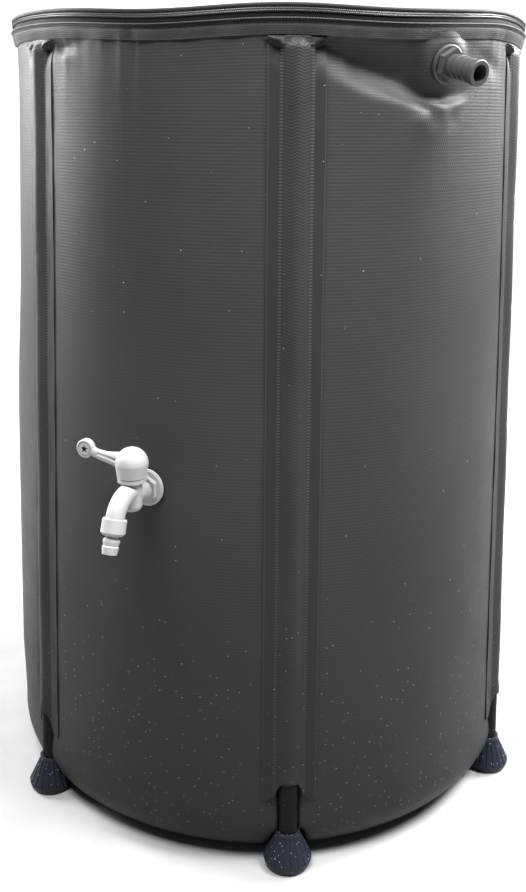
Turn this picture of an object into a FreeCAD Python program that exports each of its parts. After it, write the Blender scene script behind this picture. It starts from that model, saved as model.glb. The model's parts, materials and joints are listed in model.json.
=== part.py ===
import FreeCAD, Part
import math
import os

import Sketcher

# Collapsible rain barrel: a cloth bag held up by six upright poles in welded sleeves.
# Millimetres and degrees. Z is up, and the origin is on the floor in the middle of the barrel.
# Angles round the barrel are counted from the front (-Y), positive towards +X.

SIZES = {
    # The cloth bag
    "lid_height": 873.0,  # underside of the lid's cloth, which the rim and all that hangs from it follow
    "wall_bottom_radius": 303.0,  # outside of the cloth, carried down to the floor
    "wall_top_radius": 293.0,  # outside of the cloth at the rim band's lower edge
    "wall_drop": 13.0,  # from the lid down to the cloth's top edge
    "rim_height": 14.0,  # from the cloth's top edge down to the rim band's lower edge
    "rim_flare": 5.5,  # how far the cloth leans out over that height
    "underside": 2.0,  # height of the bag's underside, which sags to the floor between the feet
    "corner": 45.0,  # rounding where the full bag turns under
    "cloth": 1.0,  # thickness of the coated cloth
    "layer_gap": 0.1,  # between two layers that lie on each other
    "base_margin": 60.0,  # from the wall in to the opening that the base disc closes
    "base_rim": 56.0,  # how high the base's upturned edge reaches above the underside
    # The poles and their feet
    "pole_angle": 5.4,  # where the front pole stands
    "pole_sink": 5.0,  # how deep a pole's axis lies behind the wall's outside
    "pole_radius": 10.5,
    "pole_bore": 9.0,
    "pole_drop": 20.0,  # from the rim band down to a pole's top end
    "pole_play": 0.4,  # room round a pole in its sleeve
    "cap_head": 2.5,
    "cap_spigot": 14.0,
    "cap_fit": 0.05,
    "foot_height": 38.0,
    "foot_radius": 25.0,
    "foot_sole_radius": 21.5,
    "foot_belly": 9.0,  # height of a foot's widest line
    "foot_neck_radius": 12.9,
    "foot_neck": 3.5,  # height of the plain ring at a foot's top
    "foot_floor": 4.0,  # thickness under the pole's end
    "foot_play": 0.8,  # room between a foot and the cloth
    "socket_fit": 0.15,
    "flute_radius": 2.3,
    "flute_depth": 0.9,
    # The sleeves welded over the poles
    "sleeve_half": 17.0,  # half the width of the raised tube
    "sleeve_weld": 11.0,  # width of the flat weld on each side
    "sleeve_low": 94.0,
    "sleeve_gap": 1.0,  # from the rim band down to a sleeve's end
    "gather_drop": 15.0,  # how far the gathered end slopes down
    "gather_depth": 5.0,
    # The rim, the zip and the lid
    "band": 1.2,
    "band_above": 1.2,
    "tape": 0.8,
    "tape_tuck": 8.0,
    "coil_rise": 6.0,  # from the cloth's top edge up to the lower coil
    "coil_height": 1.7,
    "coil_depth": 1.8,
    "coil_slot": 1.2,
    "piping_drop": 0.7,
    "piping": 1.6,
    "zip_gap": 24.0,  # angle over which the lid stays joined
    "zip_middle": 180.0,  # where the middle of that stretch lies
    "inlet_radius": 105.0,
    "inlet_overlap": 9.0,
    "mesh_thickness": 1.2,
    "mesh_pitch": 20.0,
    "mesh_hole": 14.0,
    # The zip's slider, its pull and the stops at the zip's ends
    "slider_half": 5.0,
    "slider_plate": 1.2,
    "slider_play": 0.4,
    "slider_overhang": 2.0,  # how far the slider's plates reach past the coils
    "slider_lip": 0.9,
    "post_half": 2.0,
    "post": 0.7,
    "lug_inner": 1.6,
    "lug_outer": 2.6,
    "lug_half": 1.8,
    "lug_nose": 1.4,  # how far the lugs reach past the pin's axis
    "pin_radius": 0.7,
    "pin_out": 2.0,
    "pin_tuck": 0.5,
    "eye_fit": 0.08,
    "eye_radius": 1.6,
    "eye_play": 0.3,
    "pull_length": 16.0,
    "pull_neck": 4.0,
    "pull_half": 3.2,
    "pull_plate": 1.2,
    "pull_slot": 6.0,
    "pull_slot_half": 1.4,
    "pull_slot_edge": 2.0,
    "stop_half": 2.0,
    "stop_depth": 0.9,
    "stop_overhang": 0.5,
    # The tap
    "tap_angle": -23.1,
    "tap_height": 399.5,
    "tap_seat": 21.5,  # radius of the flat that the tap's flange clamps in the cloth
    "tap_thread": 12.5,
    "tap_thread_length": 20.0,
    "tap_flange_radius": 19.0,
    "tap_flange": 3.0,
    "tap_face_radius": 17.4,  # where the flange's bevel meets its face
    "tap_hex": 26.0,
    "tap_hex_length": 6.0,
    "tap_core": 10.5,
    "tap_neck": 8.0,
    "tap_taper": 5.0,  # length over which the core narrows to the neck
    "tap_reach": 31.0,  # from the wall to the valve's upright axis
    "tap_bore": 5.5,
    "chamber_radius": 10.0,
    "chamber_bore": 7.0,
    "chamber_top": 16.0,
    "chamber_bottom": 14.5,
    "chamber_round": 6.2,  # rounding under the chamber
    "chamber_lip": 12.8,
    "chamber_flare": 2.0,
    "plug_play": 0.07,
    "plug_low": 9.0,
    "plug_lift": 0.3,
    "plug_high": 12.6,
    "plug_hole": 4.2,
    "stem_radius": 3.6,
    "stem_top": 34.0,
    "stem_play": 0.1,
    "seal_play": 0.15,
    "seal": 1.4,
    "bonnet_radius": 14.2,
    "bonnet_height": 4.5,
    "bonnet_gap": 0.1,
    "bonnet_edge": 0.6,
    "spout_radius": 9.3,
    "spout_bore": 6.0,
    "spout_start": 7.0,  # straight run before the bend
    "spout_bend": 27.0,
    "spout_height": 6.2,  # how far the spout leaves the valve above the inlet
    "outlet_tilt": 19.0,
    "outlet_thread": 9.0,
    "outlet_length": 9.0,
    "outlet_washer": 1.4,
    "outlet_gap": 0.1,
    "union_radius": 12.0,
    "union_length": 15.0,
    "union_back": 1.0,  # how far the union reaches back over the spout
    "union_wall": 2.0,
    "union_bevel": 2.5,
    "union_play": 0.2,
    "tail_radius": 8.3,
    "tail_neck": 6.3,
    "tail_bore": 4.8,
    "tail_start": 2.6,  # plain neck between the union and the first step
    "tail_step": 8.0,
    "tail_crest": 1.0,
    "tail_bite": 1.1,
    "handle_radius": 16.4,
    "handle_skirt": 14.6,
    "handle_low": 20.8,
    "handle_middle": 33.5,
    "handle_wall": 2.4,
    "grip_wall": 2.2,
    "grip_lift": 1.0,
    "stem_fit": 0.05,
    "root_reach": 9.0,
    "root_rise": 33.5,
    "root_width": 7.0,
    "root_depth": 10.5,
    "waist_reach": 21.0,
    "waist_rise": 35.4,
    "waist_width": 4.4,
    "waist_depth": 7.0,
    "bar_reach": 34.0,
    "bar_rise": 37.0,
    "bar_width": 3.7,
    "bar_depth": 5.4,
    "lever_reach": 52.0,
    "lever_height": 42.0,
    "lever_disc": 9.4,
    "lever_thickness": 7.6,
    "lever_lap": 6.0,  # how far the bar runs into the disc
    "lever_edge": 1.0,
    "groove_radius": 2.2,
    "groove_out": 5.0,
    "groove_start": 16.0,
    "groove_rise": 35.5,
    "groove_length": 22.0,
    "circle_inner": 6.3,
    "circle_outer": 7.5,
    "circle_depth": 0.7,
    "star_radius": 4.6,
    "star_notch": 1.9,
    "star_depth": 2.2,
    # The overflow
    "overflow_angle": 36.5,
    "overflow_drop": 38.5,  # from the cloth's top edge down to the overflow's middle
    "overflow_droop": 13.5,
    "overflow_seat": 20.4,
    "overflow_thread": 13.5,
    "overflow_thread_length": 22.0,
    "overflow_flange_radius": 19.6,
    "overflow_flange": 3.0,
    "overflow_face_radius": 18.4,
    "overflow_hex": 30.0,
    "overflow_hex_length": 6.5,
    "barb_radius": 12.5,
    "barb_bore": 8.6,
    "barb_bite": 0.9,
    "barb_step": 7.5,
    "barb_crest": 0.4,
    "barb_lip": 4.6,  # length of the ring at the open end
    "barb_lip_radius": 13.0,
    # Washers and nuts of both fittings
    "washer": 1.5,
    "washer_margin": 1.2,
    "nut_height": 7.0,
    "nut_margin": 3.8,
    "thread_fit": 0.2,
    "bevel": 0.8,
    "seat_slope": 8.0,  # depth over which the cloth dips or rises to a fitting's flat
}
POLE_NAMES = ("front_left", "front", "front_right", "back_right", "back", "back_left")
PANEL_NAMES = ("front_left", "front_right", "right", "back_right", "back_left", "left")
BARBS = 4
FLUTES = 18

V = FreeCAD.Vector
document = FreeCAD.newDocument("rain_barrel")
sheet = document.addObject("Spreadsheet::Sheet", "sizes")
for row, (alias, number) in enumerate(SIZES.items(), start=1):
    sheet.set(f"A{row}", alias.replace("_", " "))
    sheet.set(f"B{row}", str(number))
    sheet.setAlias(f"B{row}", alias)
document.recompute()

nodes = []


# Reading the sheet
def value(expression):
    """The number that an expression on the sheet stands for."""
    found = sheet.evalExpression(expression)
    return float(getattr(found, "Value", found))


def size(alias):
    """One size from the sheet."""
    return value("sizes." + alias)


def bind(thing, **expressions):
    """Ties a thing's properties to expressions on the sheet."""
    for name, expression in expressions.items():
        thing.setExpression(name, expression)
    return thing


def keep(label, thing):
    """Names a finished sub-part, which is written under that name."""
    thing.Label = label
    nodes.append(thing)
    return thing


# Places round the barrel
def place(angle, radius, height, tilt=0.0):
    """A frame at an angle round the barrel: X points outwards, Z up; a positive tilt turns X down."""
    turn = math.radians(angle)
    spot = V(radius * math.sin(turn), -radius * math.cos(turn), height)
    upright = FreeCAD.Placement(spot, FreeCAD.Rotation(V(0, 0, 1), angle - 90))
    return upright * FreeCAD.Placement(V(), FreeCAD.Rotation(V(0, 1, 0), tilt))


def shift(x=0.0, y=0.0, z=0.0, axis=V(0, 0, 1), angle=0.0):
    """A step inside a frame, with an optional turn about an axis."""
    return FreeCAD.Placement(V(x, y, z), FreeCAD.Rotation(axis, angle))


WALL_TOP = "(sizes.lid_height - sizes.wall_drop)"
RIM_LOW = "(sizes.lid_height - sizes.wall_drop - sizes.rim_height)"
RIM_RADIUS = "(sizes.wall_top_radius + sizes.rim_flare)"
POLE_TOP = f"({RIM_LOW} - sizes.pole_drop)"
SLEEVE_TOP = f"({RIM_LOW} - sizes.sleeve_gap)"
SLOPE = f"(sizes.wall_bottom_radius - sizes.wall_top_radius) / {RIM_LOW}"
LEAN = math.degrees(math.atan(value(SLOPE)))
OUTWARDS = shift(axis=V(0, 1, 0), angle=90)
POLE_ANGLES = [size("pole_angle") + 60 * step for step in range(-1, 5)]


def wall_radius(height):
    """Outside radius of the cloth at a height."""
    return size("wall_bottom_radius") - height * value(SLOPE)


def pole_frame(angle, height=0.0):
    """A pole's own frame, which leans with the wall."""
    return place(angle, size("wall_bottom_radius") - size("pole_sink"), 0, -LEAN) * shift(z=height)


TAP = place(size("tap_angle"), wall_radius(size("tap_height")), size("tap_height"))
OVERFLOW_HEIGHT = value(f"{WALL_TOP} - sizes.overflow_drop")
OVERFLOW = place(
    size("overflow_angle"), wall_radius(OVERFLOW_HEIGHT), OVERFLOW_HEIGHT, size("overflow_droop"),
)


# Sketches and solids
def origin_plane(body, role):
    """One of a body's own origin planes."""
    return next(item for item in body.Origin.OriginFeatures if item.Role == role)


def arc_between(tail, head, radius, turn):
    """The short arc from tail to head; turn is 1 where it bends left and -1 where it bends right."""
    half = (head - tail) * 0.5
    reach = math.sqrt(max(radius ** 2 - half.Length ** 2, 0.0))
    centre = tail + half + V(-half.y, half.x, 0).normalize() * reach * turn
    ends = [math.atan2(point.y - centre.y, point.x - centre.x) for point in (tail, head)]
    if turn < 0:
        ends.reverse()
    return Part.ArcOfCircle(Part.Circle(centre, V(0, 0, 1), radius), ends[0], ends[1])


def outline(body, role, corners):
    """A closed sketch through corners, each a pair of expressions.

    A corner with a radius and a turn after its pair is reached by an arc.
    """
    drawing = body.newObject("Sketcher::SketchObject", body.Name + "_outline")
    drawing.AttachmentSupport = [(origin_plane(body, role), "")]
    drawing.MapMode = "FlatFace"
    points = [V(value(corner[0]), value(corner[1]), 0) for corner in corners]
    ends = []
    for index, corner in enumerate(corners):
        tail, head = points[index - 1], points[index]
        if len(corner) == 2:
            drawing.addGeometry(Part.LineSegment(tail, head))
            ends.append((1, 2))
            continue
        drawing.addGeometry(arc_between(tail, head, value(corner[2]), corner[3]))
        ends.append((1, 2) if corner[3] > 0 else (2, 1))
        tie(drawing, Sketcher.Constraint("Radius", index, value(corner[2])), corner[2])
    for index, corner in enumerate(corners):
        follower = (index + 1) % len(corners)
        head = ends[index][1]
        drawing.addConstraint(Sketcher.Constraint("Coincident", index, head, follower, ends[follower][0]))
        for kind, expression, axis, coordinate in (
            ("DistanceX", corner[0], -2, points[index].x),
            ("DistanceY", corner[1], -1, points[index].y),
        ):
            if expression == "0":
                drawing.addConstraint(Sketcher.Constraint("PointOnObject", index, head, axis))
            else:
                constraint = Sketcher.Constraint(kind, -1, 1, index, head, coordinate)
                tie(drawing, constraint, expression)
    return drawing


def tie(drawing, constraint, expression):
    """Adds a dimension and binds it to the sheet."""
    drawing.setExpression(f"Constraints[{drawing.addConstraint(constraint)}]", expression)


def turned(name, corners, axis="V_Axis", angle="360"):
    """A body turned about one of its outline's axes, half of the angle to each side."""
    body = document.addObject("PartDesign::Body", name)
    drawing = outline(body, "XZ_Plane", corners)
    solid = body.newObject("PartDesign::Revolution", name + "_turned")
    solid.Profile = drawing
    solid.ReferenceAxis = (drawing, [axis])
    solid.Midplane = True
    bind(solid, Angle=angle)
    return body


def padded(name, role, corners, length, midplane=False):
    """A body with one outline padded to a length."""
    body = document.addObject("PartDesign::Body", name)
    solid = body.newObject("PartDesign::Pad", name + "_padded")
    solid.Profile = outline(body, role, corners)
    solid.Midplane = midplane
    bind(solid, Length=length)
    return body


def pocketed(body, role, corners, length, midplane=False, backwards=False):
    """Cuts an outline out of a body."""
    hole = body.newObject("PartDesign::Pocket", body.Name + "_pocket")
    hole.Profile = outline(body, role, corners)
    hole.Midplane = midplane
    hole.Reversed = backwards
    bind(hole, Length=length)
    return body


def primitive(kind, name, where=None, **expressions):
    """A plain solid whose sizes are expressions."""
    thing = bind(document.addObject("Part::" + kind, name), **expressions)
    if where is not None:
        thing.Placement = where
    return thing


def fused(name, *pieces):
    """The union of several solids."""
    union = document.addObject("Part::MultiFuse", name)
    union.Shapes = list(pieces)
    return union


def cut(name, base, *tools):
    """A solid less one or more others."""
    result = document.addObject("Part::Cut", name)
    result.Base = base
    result.Tool = tools[0] if len(tools) == 1 else fused(name + "_tools", *tools)
    return result


def shared(name, base, tool):
    """What two solids have in common."""
    result = document.addObject("Part::Common", name)
    result.Base, result.Tool = base, tool
    return result


def ring(inner, outer, low, high):
    """Corners of a plain ring's section."""
    return [(inner, low), (outer, low), (outer, high), (inner, high)]


# The bag: one form, made at several depths inside the cloth's outside
def bag(name, inset, with_seats=True):
    """The filled shape of the bag, moved inwards by an inset given as an expression."""
    form = turned(name + "_form", [
        ("0", f"sizes.underside + {inset}"),
        (f"sizes.wall_bottom_radius - {SLOPE} * sizes.underside - ({inset})", f"sizes.underside + {inset}"),
        (f"sizes.wall_top_radius - ({inset})", RIM_LOW),
        (f"{RIM_RADIUS} - ({inset})", WALL_TOP),
        ("0", WALL_TOP),
    ])
    document.recompute()
    edge, sharp = bottom_edge(form, value(f"sizes.underside + {inset}")), form.Tip
    rounding = form.newObject("PartDesign::Fillet", name + "_rounding")
    rounding.Base = (sharp, [edge])
    bind(rounding, Radius=f"sizes.corner - ({inset})")
    grooves = []
    for step, angle in enumerate(POLE_ANGLES):
        grooves.append(primitive(
            "Cylinder", f"{name}_groove_{step}", pole_frame(angle),
            Radius=f"sizes.pole_radius + sizes.pole_play + {inset}",
            Height=f"{POLE_TOP} + sizes.pole_play + {inset}",
        ))
        grooves.append(primitive(
            "Cylinder", f"{name}_foot_well_{step}", pole_frame(angle),
            Radius=f"sizes.foot_radius + sizes.foot_play + {inset}", Height="sizes.foot_belly",
        ))
        grooves.append(primitive(
            "Cone", f"{name}_foot_room_{step}", pole_frame(angle, size("foot_belly")),
            Radius1=f"sizes.foot_radius + sizes.foot_play + {inset}",
            Radius2=f"sizes.foot_neck_radius + sizes.foot_play + {inset}",
            Height=f"sizes.foot_height - sizes.foot_belly + sizes.foot_play + {inset}",
        ))
    if not with_seats:
        return cut(name, form, *grooves)
    raised = [seat_cone(f"{name}_{fitting}_raised", fitting, frame, inset, False)
              for fitting, frame in (("tap", TAP), ("overflow", OVERFLOW))]
    sunk = [seat_cone(f"{name}_{fitting}_sunk", fitting, frame, inset, True)
            for fitting, frame in (("tap", TAP), ("overflow", OVERFLOW))]
    return cut(name, fused(name + "_filled", form, *raised), *grooves, *sunk)


def bottom_edge(form, height):
    """Name of the widest round edge at a height."""
    rounds = [(edge.Curve.Radius, f"Edge{index}") for index, edge in enumerate(form.Shape.Edges, start=1)
              if isinstance(edge.Curve, Part.Circle) and abs(edge.Curve.Center.z - height) < 0.01]
    return max(rounds)[1]


def seat_cone(name, fitting, frame, inset, sunk):
    """The cone that raises or sinks the cloth to the flat behind a fitting's flange."""
    depth = size("seat_slope")
    narrow, wide = f"sizes.{fitting}_seat", f"sizes.{fitting}_seat + sizes.seat_slope / 2"
    start = -value(inset) - (0 if sunk else depth)
    return primitive(
        "Cone", name, frame * shift(x=start) * OUTWARDS,
        Radius1=narrow if sunk else wide, Radius2=wide if sunk else narrow, Height="sizes.seat_slope",
    )


def make_wall():
    """The cloth wall, which turns under at the bottom and leaves the base's opening.

    Its six panels meet behind the poles, where the sleeves cover their welds.
    """
    shell = cut("wall_shell", bag("outer_bag", "0"), bag("inner_bag", "sizes.cloth"))
    openings = [
        primitive("Cylinder", "base_hole", Radius="sizes.wall_bottom_radius - sizes.base_margin",
                  Height="sizes.underside + 2 * sizes.cloth"),
    ]
    for fitting, frame in (("tap", TAP), ("overflow", OVERFLOW)):
        openings.append(primitive(
            "Cylinder", f"{fitting}_hole", frame * shift(x=-size("seat_slope")) * OUTWARDS,
            Radius=f"sizes.{fitting}_thread + sizes.thread_fit", Height="2 * sizes.seat_slope",
        ))
    cloth = cut("wall_cloth", shell, *openings)
    for angle, name in zip(POLE_ANGLES, PANEL_NAMES):
        sector = primitive("Cylinder", f"wall_{name}_sector", place(angle, 0, 0),
                           Radius="2 * sizes.wall_bottom_radius", Height=WALL_TOP, Angle="60")
        keep(f"wall_{name}", shared(f"wall_{name}_cloth", cloth, sector))


def make_base():
    """The base disc, whose upturned edge is welded inside the wall."""
    inside = "sizes.cloth + sizes.layer_gap"
    shell = cut("base_shell", bag("base_outside", inside, False),
                bag("base_inside", f"{inside} + sizes.cloth", False))
    reach = primitive("Cylinder", "base_reach", Radius="sizes.wall_bottom_radius",
                      Height="sizes.underside + sizes.base_rim")
    keep("base", shared("base_cloth", shell, reach))


# The sleeves
def tangent_corner(across, outwards, radius, side):
    """Where a taut flank from a weld's edge touches the round over the pole."""
    along = f"(atan({across} / ({outwards})) - acos({radius} / sqrt(({across})^2 + ({outwards})^2)))"
    return f"{radius} * cos({along})", f"{side} * {radius} * sin({along})"


def surface(across):
    """How far outside a pole's axis the wall lies, at a distance across it."""
    mean = "(sizes.wall_bottom_radius + sizes.wall_top_radius)"
    return f"(sizes.pole_sink - ({across})^2 / {mean} + sizes.layer_gap)"


def sleeve_corners(half, depth, radius, back):
    """Section of the raised tube between its two flanks, open towards the back."""
    foot = f"{surface(half)} + {depth}"
    left, right = tangent_corner(half, foot, radius, 1), tangent_corner(half, foot, radius, -1)
    return [(back, f"-({half})"), (foot, f"-({half})"), right, (*left, radius, 1), (foot, half), (back, half)]


def make_sleeve(angle, name):
    """A strip welded over a pole, with two flat welds and a gathered top end."""
    edge = "sizes.sleeve_half + sizes.sleeve_weld"
    cover = "(sizes.pole_radius + sizes.pole_play + sizes.cloth)"
    room = "(sizes.pole_radius + sizes.pole_play)"
    outside = sleeve_corners("sizes.sleeve_half", "sizes.cloth", cover, surface("sizes.sleeve_half"))
    bend = "(sizes.wall_bottom_radius + sizes.wall_top_radius) / 2"
    back = [(surface(edge), f"-({edge})", bend, -1), (f"{surface(edge)} + sizes.cloth", f"-({edge})")]
    front = [(f"{surface(edge)} + sizes.cloth", edge), (surface(edge), edge)]
    section = [*back, *outside[1:-1], *front]
    top = f"({SLEEVE_TOP} - sizes.sleeve_low)"
    strip = padded(f"sleeve_{name}_strip", "XY_Plane", section, top)
    pocketed(strip, "XY_Plane", sleeve_corners("sizes.sleeve_half - 1.5 * sizes.cloth", "0", room, "0"),
             f"{POLE_TOP} + sizes.pole_play - sizes.sleeve_low", backwards=True)
    outer = f"{cover} + sizes.cloth"
    pocketed(strip, "XZ_Plane", [
        (f"{outer} - sizes.gather_depth - sizes.cloth", f"{top}"),
        (outer, f"{top} - sizes.gather_drop"),
        (outer, f"{top} + sizes.cloth"),
        (f"{outer} - sizes.gather_depth - sizes.cloth", f"{top} + sizes.cloth"),
    ], f"2 * ({edge}) + sizes.cloth", midplane=True)
    strip.Placement = pole_frame(angle, size("sleeve_low"))
    keep(f"sleeve_{name}", strip)


# The poles and their feet
def make_pole(angle, name):
    """A tube with a plug in its top end and a fluted foot on its bottom end."""
    tube = turned(f"pole_{name}_tube", ring("sizes.pole_bore", "sizes.pole_radius", "sizes.foot_floor",
                                            f"{POLE_TOP} - sizes.cap_head"))
    tube.Placement = pole_frame(angle)
    keep(f"pole_{name}", tube)
    head, spigot = f"{POLE_TOP} - sizes.cap_head", "(sizes.pole_bore - sizes.cap_fit)"
    plug = turned(f"pole_plug_{name}_solid", [
        ("0", f"{head} - sizes.cap_spigot"), (spigot, f"{head} - sizes.cap_spigot"), (spigot, head),
        ("sizes.pole_radius", head), ("sizes.pole_radius", f"{POLE_TOP} - sizes.cap_head / 2"),
        ("sizes.pole_radius - sizes.cap_head / 2", POLE_TOP), ("0", POLE_TOP),
    ])
    plug.Placement = pole_frame(angle)
    keep(f"pole_plug_{name}", plug)
    make_foot(angle, name)


def make_foot(angle, name):
    """A bell-shaped foot with flutes down its flank and a socket for the pole."""
    neck = "sizes.foot_height - sizes.foot_neck"
    bulge = "(sizes.foot_radius - sizes.foot_sole_radius)"
    bell = turned(f"foot_{name}_bell", [
        ("0", "0"),
        ("sizes.foot_sole_radius", "0"),
        ("sizes.foot_radius", "sizes.foot_belly", f"({bulge}^2 + sizes.foot_belly^2) / (2 * {bulge})", 1),
        ("sizes.foot_neck_radius", neck),
        ("sizes.foot_neck_radius", "sizes.foot_height"),
        ("0", "sizes.foot_height"),
    ])
    document.recompute()
    run = size("foot_radius") - size("foot_neck_radius")
    rise = size("foot_height") - size("foot_neck") - size("foot_belly")
    flank = math.degrees(math.atan(run / rise))
    out = size("flute_radius") - size("flute_depth")
    flute = bell.newObject("PartDesign::SubtractiveCylinder", f"foot_{name}_flute")
    bind(flute, Radius="sizes.flute_radius", Height=f"({neck} - sizes.foot_belly) / cos({flank})")
    flute.Placement = (
        shift(x=size("foot_radius"), z=size("foot_belly"), axis=V(0, 1, 0), angle=-flank) * shift(x=out)
    )
    flutes = bell.newObject("PartDesign::PolarPattern", f"foot_{name}_flutes")
    flutes.Originals = [flute]
    flutes.Axis = (bell.Origin.OriginFeatures[2], [""])
    flutes.Angle = 360
    flutes.Occurrences = FLUTES
    bell.Tip = flutes
    lean = shift(axis=V(0, 1, 0), angle=-LEAN)
    socket = primitive("Cylinder", f"foot_{name}_socket", lean * shift(z=size("foot_floor")),
                       Radius="sizes.pole_radius + sizes.socket_fit", Height="sizes.foot_height")
    foot = cut(f"foot_{name}_solid", bell, socket)
    foot.Placement = place(angle, size("wall_bottom_radius") - size("pole_sink"), 0)
    keep(f"foot_{name}", foot)


# The rim, the zip and the lid
FLARE = "sizes.rim_flare / sizes.rim_height"
TAPE_FACE = f"({RIM_RADIUS} - sizes.cloth - sizes.layer_gap)"
COIL_FACE = f"({TAPE_FACE} + sizes.coil_depth)"
LOWER_COIL = f"({WALL_TOP} + sizes.coil_rise)"
UPPER_COIL = f"({LOWER_COIL} + sizes.coil_height + sizes.coil_slot)"
ZIP_ANGLE = "360 - sizes.zip_gap"


def make_rim():
    """The flared band outside the wall's top edge, the zip's two halves and the lid."""
    band_top = f"{WALL_TOP} + sizes.band_above"
    keep("rim_band", turned("rim_band_ring", [
        ("sizes.wall_top_radius + sizes.layer_gap", RIM_LOW),
        ("sizes.wall_top_radius + sizes.layer_gap + sizes.band", RIM_LOW),
        (f"{RIM_RADIUS} + sizes.layer_gap + sizes.band", WALL_TOP),
        (f"{RIM_RADIUS} + sizes.layer_gap + sizes.band", band_top),
        (f"{RIM_RADIUS} + sizes.layer_gap", band_top),
        (f"{RIM_RADIUS} + sizes.layer_gap", WALL_TOP),
    ]))
    tuck = f"{TAPE_FACE} - {FLARE} * sizes.tape_tuck"
    lower_edge, tucked = f"{LOWER_COIL} + sizes.coil_height", f"{WALL_TOP} - sizes.tape_tuck"
    keep("zip_tape_lower", turned("zip_tape_lower_ring", [
        (f"{tuck} - sizes.tape", tucked),
        (tuck, tucked),
        (TAPE_FACE, WALL_TOP),
        (TAPE_FACE, lower_edge),
        (f"{TAPE_FACE} - sizes.tape", lower_edge),
        (f"{TAPE_FACE} - sizes.tape", WALL_TOP),
    ]))
    keep("zip_tape_upper", turned("zip_tape_upper_ring", ring(
        f"{TAPE_FACE} - sizes.tape", TAPE_FACE, UPPER_COIL, "sizes.lid_height")))
    for name, low in (("zip_coil_lower", LOWER_COIL), ("zip_coil_upper", UPPER_COIL)):
        coil = turned(name + "_ring", ring(TAPE_FACE, COIL_FACE, low, f"{low} + sizes.coil_height"),
                      angle=ZIP_ANGLE)
        coil.Placement = shift(angle=size("zip_middle") - 270)
        keep(name, coil)
    lid_top = "sizes.lid_height + sizes.cloth"
    keep("lid_panel", turned("lid_panel_disc", ring(
        "sizes.inlet_radius", TAPE_FACE, "sizes.lid_height", lid_top)))
    keep("lid_piping", turned("lid_piping_ring", [
        (TAPE_FACE, "sizes.lid_height - sizes.piping_drop"),
        (f"{TAPE_FACE} + sizes.piping", "sizes.lid_height"),
        (f"{TAPE_FACE} + sizes.piping", lid_top),
        (TAPE_FACE, f"{lid_top} + sizes.piping_drop"),
    ]))
    make_inlet(lid_top)


def make_inlet(lid_top):
    """The round mesh in the middle of the lid and the ring that binds it."""
    reach = "sizes.inlet_radius + sizes.inlet_overlap"
    keep("inlet_ring", turned("inlet_ring_solid", ring(
        "sizes.inlet_radius - sizes.cloth", reach, lid_top, f"{lid_top} + sizes.cloth")))
    disc = primitive("Cylinder", "mesh_disc", shift(z=size("lid_height") - size("mesh_thickness")),
                     Radius=reach, Height="sizes.mesh_thickness")
    pitch, hole = size("mesh_pitch"), size("mesh_hole")
    count = int(size("inlet_radius") / pitch)
    holes = []
    for column in range(-count, count + 1):
        for line in range(-count, count + 1):
            corner = pitch * math.hypot(abs(column) + 0.5, abs(line) + 0.5)
            if corner > size("inlet_radius"):
                continue
            spot = shift(column * pitch - hole / 2, line * pitch - hole / 2, size("lid_height") - pitch / 2)
            holes.append(primitive("Box", f"mesh_hole_{len(holes)}", spot, Length="sizes.mesh_hole",
                                   Width="sizes.mesh_hole", Height="sizes.mesh_pitch"))
    keep("inlet_mesh", cut("inlet_mesh_sheet", disc, *holes))


def box(name, x, y, z):
    """A block between pairs of expressions along each axis of its frame."""
    low = [value(pair[0]) for pair in (x, y, z)]
    spans = [f"({pair[1]}) - ({pair[0]})" for pair in (x, y, z)]
    return primitive("Box", name, shift(*low), Length=spans[0], Width=spans[1], Height=spans[2])


def make_zip_fittings():
    """The slider that runs round the rim, its pull, and a stop at each end of the zip."""
    half, plate = "sizes.slider_half", "sizes.slider_plate"
    end = size("zip_middle") - size("zip_gap") / 2
    rest = end - math.degrees(3 * size("slider_half") / value(RIM_RADIUS))
    where = place(rest, 0, 0)
    width = (f"-{half}", half)
    face, back = f"({COIL_FACE} + sizes.slider_play)", f"({TAPE_FACE} - sizes.tape - sizes.slider_play)"
    low = f"({LOWER_COIL} - sizes.slider_overhang)"
    high = f"({UPPER_COIL} + sizes.coil_height + sizes.slider_overhang / 2)"
    lip = f"{TAPE_FACE} + sizes.slider_play"
    middle = f"({UPPER_COIL} - sizes.coil_slot / 2)"
    pin_out = f"({face} + {plate} + sizes.pin_out)"
    front = (lip, f"{face} + {plate} / 2")
    pieces = [
        box("slider_front", (face, f"{face} + {plate}"), width, (low, high)),
        box("slider_back", (f"{back} - {plate}", back), width, (low, f"{high} - sizes.slider_play")),
        box("slider_post", (f"{back} - {plate} / 2", f"{face} + {plate} / 2"),
            ("-sizes.post_half", "sizes.post_half"),
            (f"{middle} - sizes.post / 2", f"{middle} + sizes.post / 2")),
        box("slider_low_lip", front, width, (low, f"{low} + sizes.slider_lip")),
        box("slider_high_lip", front, width, (f"{high} - sizes.slider_lip / 2", high)),
    ]
    sides = (("-sizes.lug_outer", "-sizes.lug_inner"), ("sizes.lug_inner", "sizes.lug_outer"))
    for step, ends in enumerate(sides):
        pieces.append(box(
            f"slider_lug_{step}", (f"{face} + {plate} / 2", f"{pin_out} + sizes.lug_nose"), ends,
            (f"{middle} - sizes.lug_half", f"{middle} + sizes.lug_half"),
        ))
    along = shift(axis=V(1, 0, 0), angle=90)
    pin_spot = shift(value(pin_out), value("sizes.lug_outer - sizes.pin_tuck"), value(middle))
    pieces.append(primitive("Cylinder", "slider_pin", pin_spot * along, Radius="sizes.pin_radius",
                            Height="2 * (sizes.lug_outer - sizes.pin_tuck)"))
    slider = fused("zip_slider_solid", *pieces)
    slider.Placement = where
    keep("zip_slider", slider)
    make_pull(where, pin_out, middle)
    make_stops()


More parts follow.
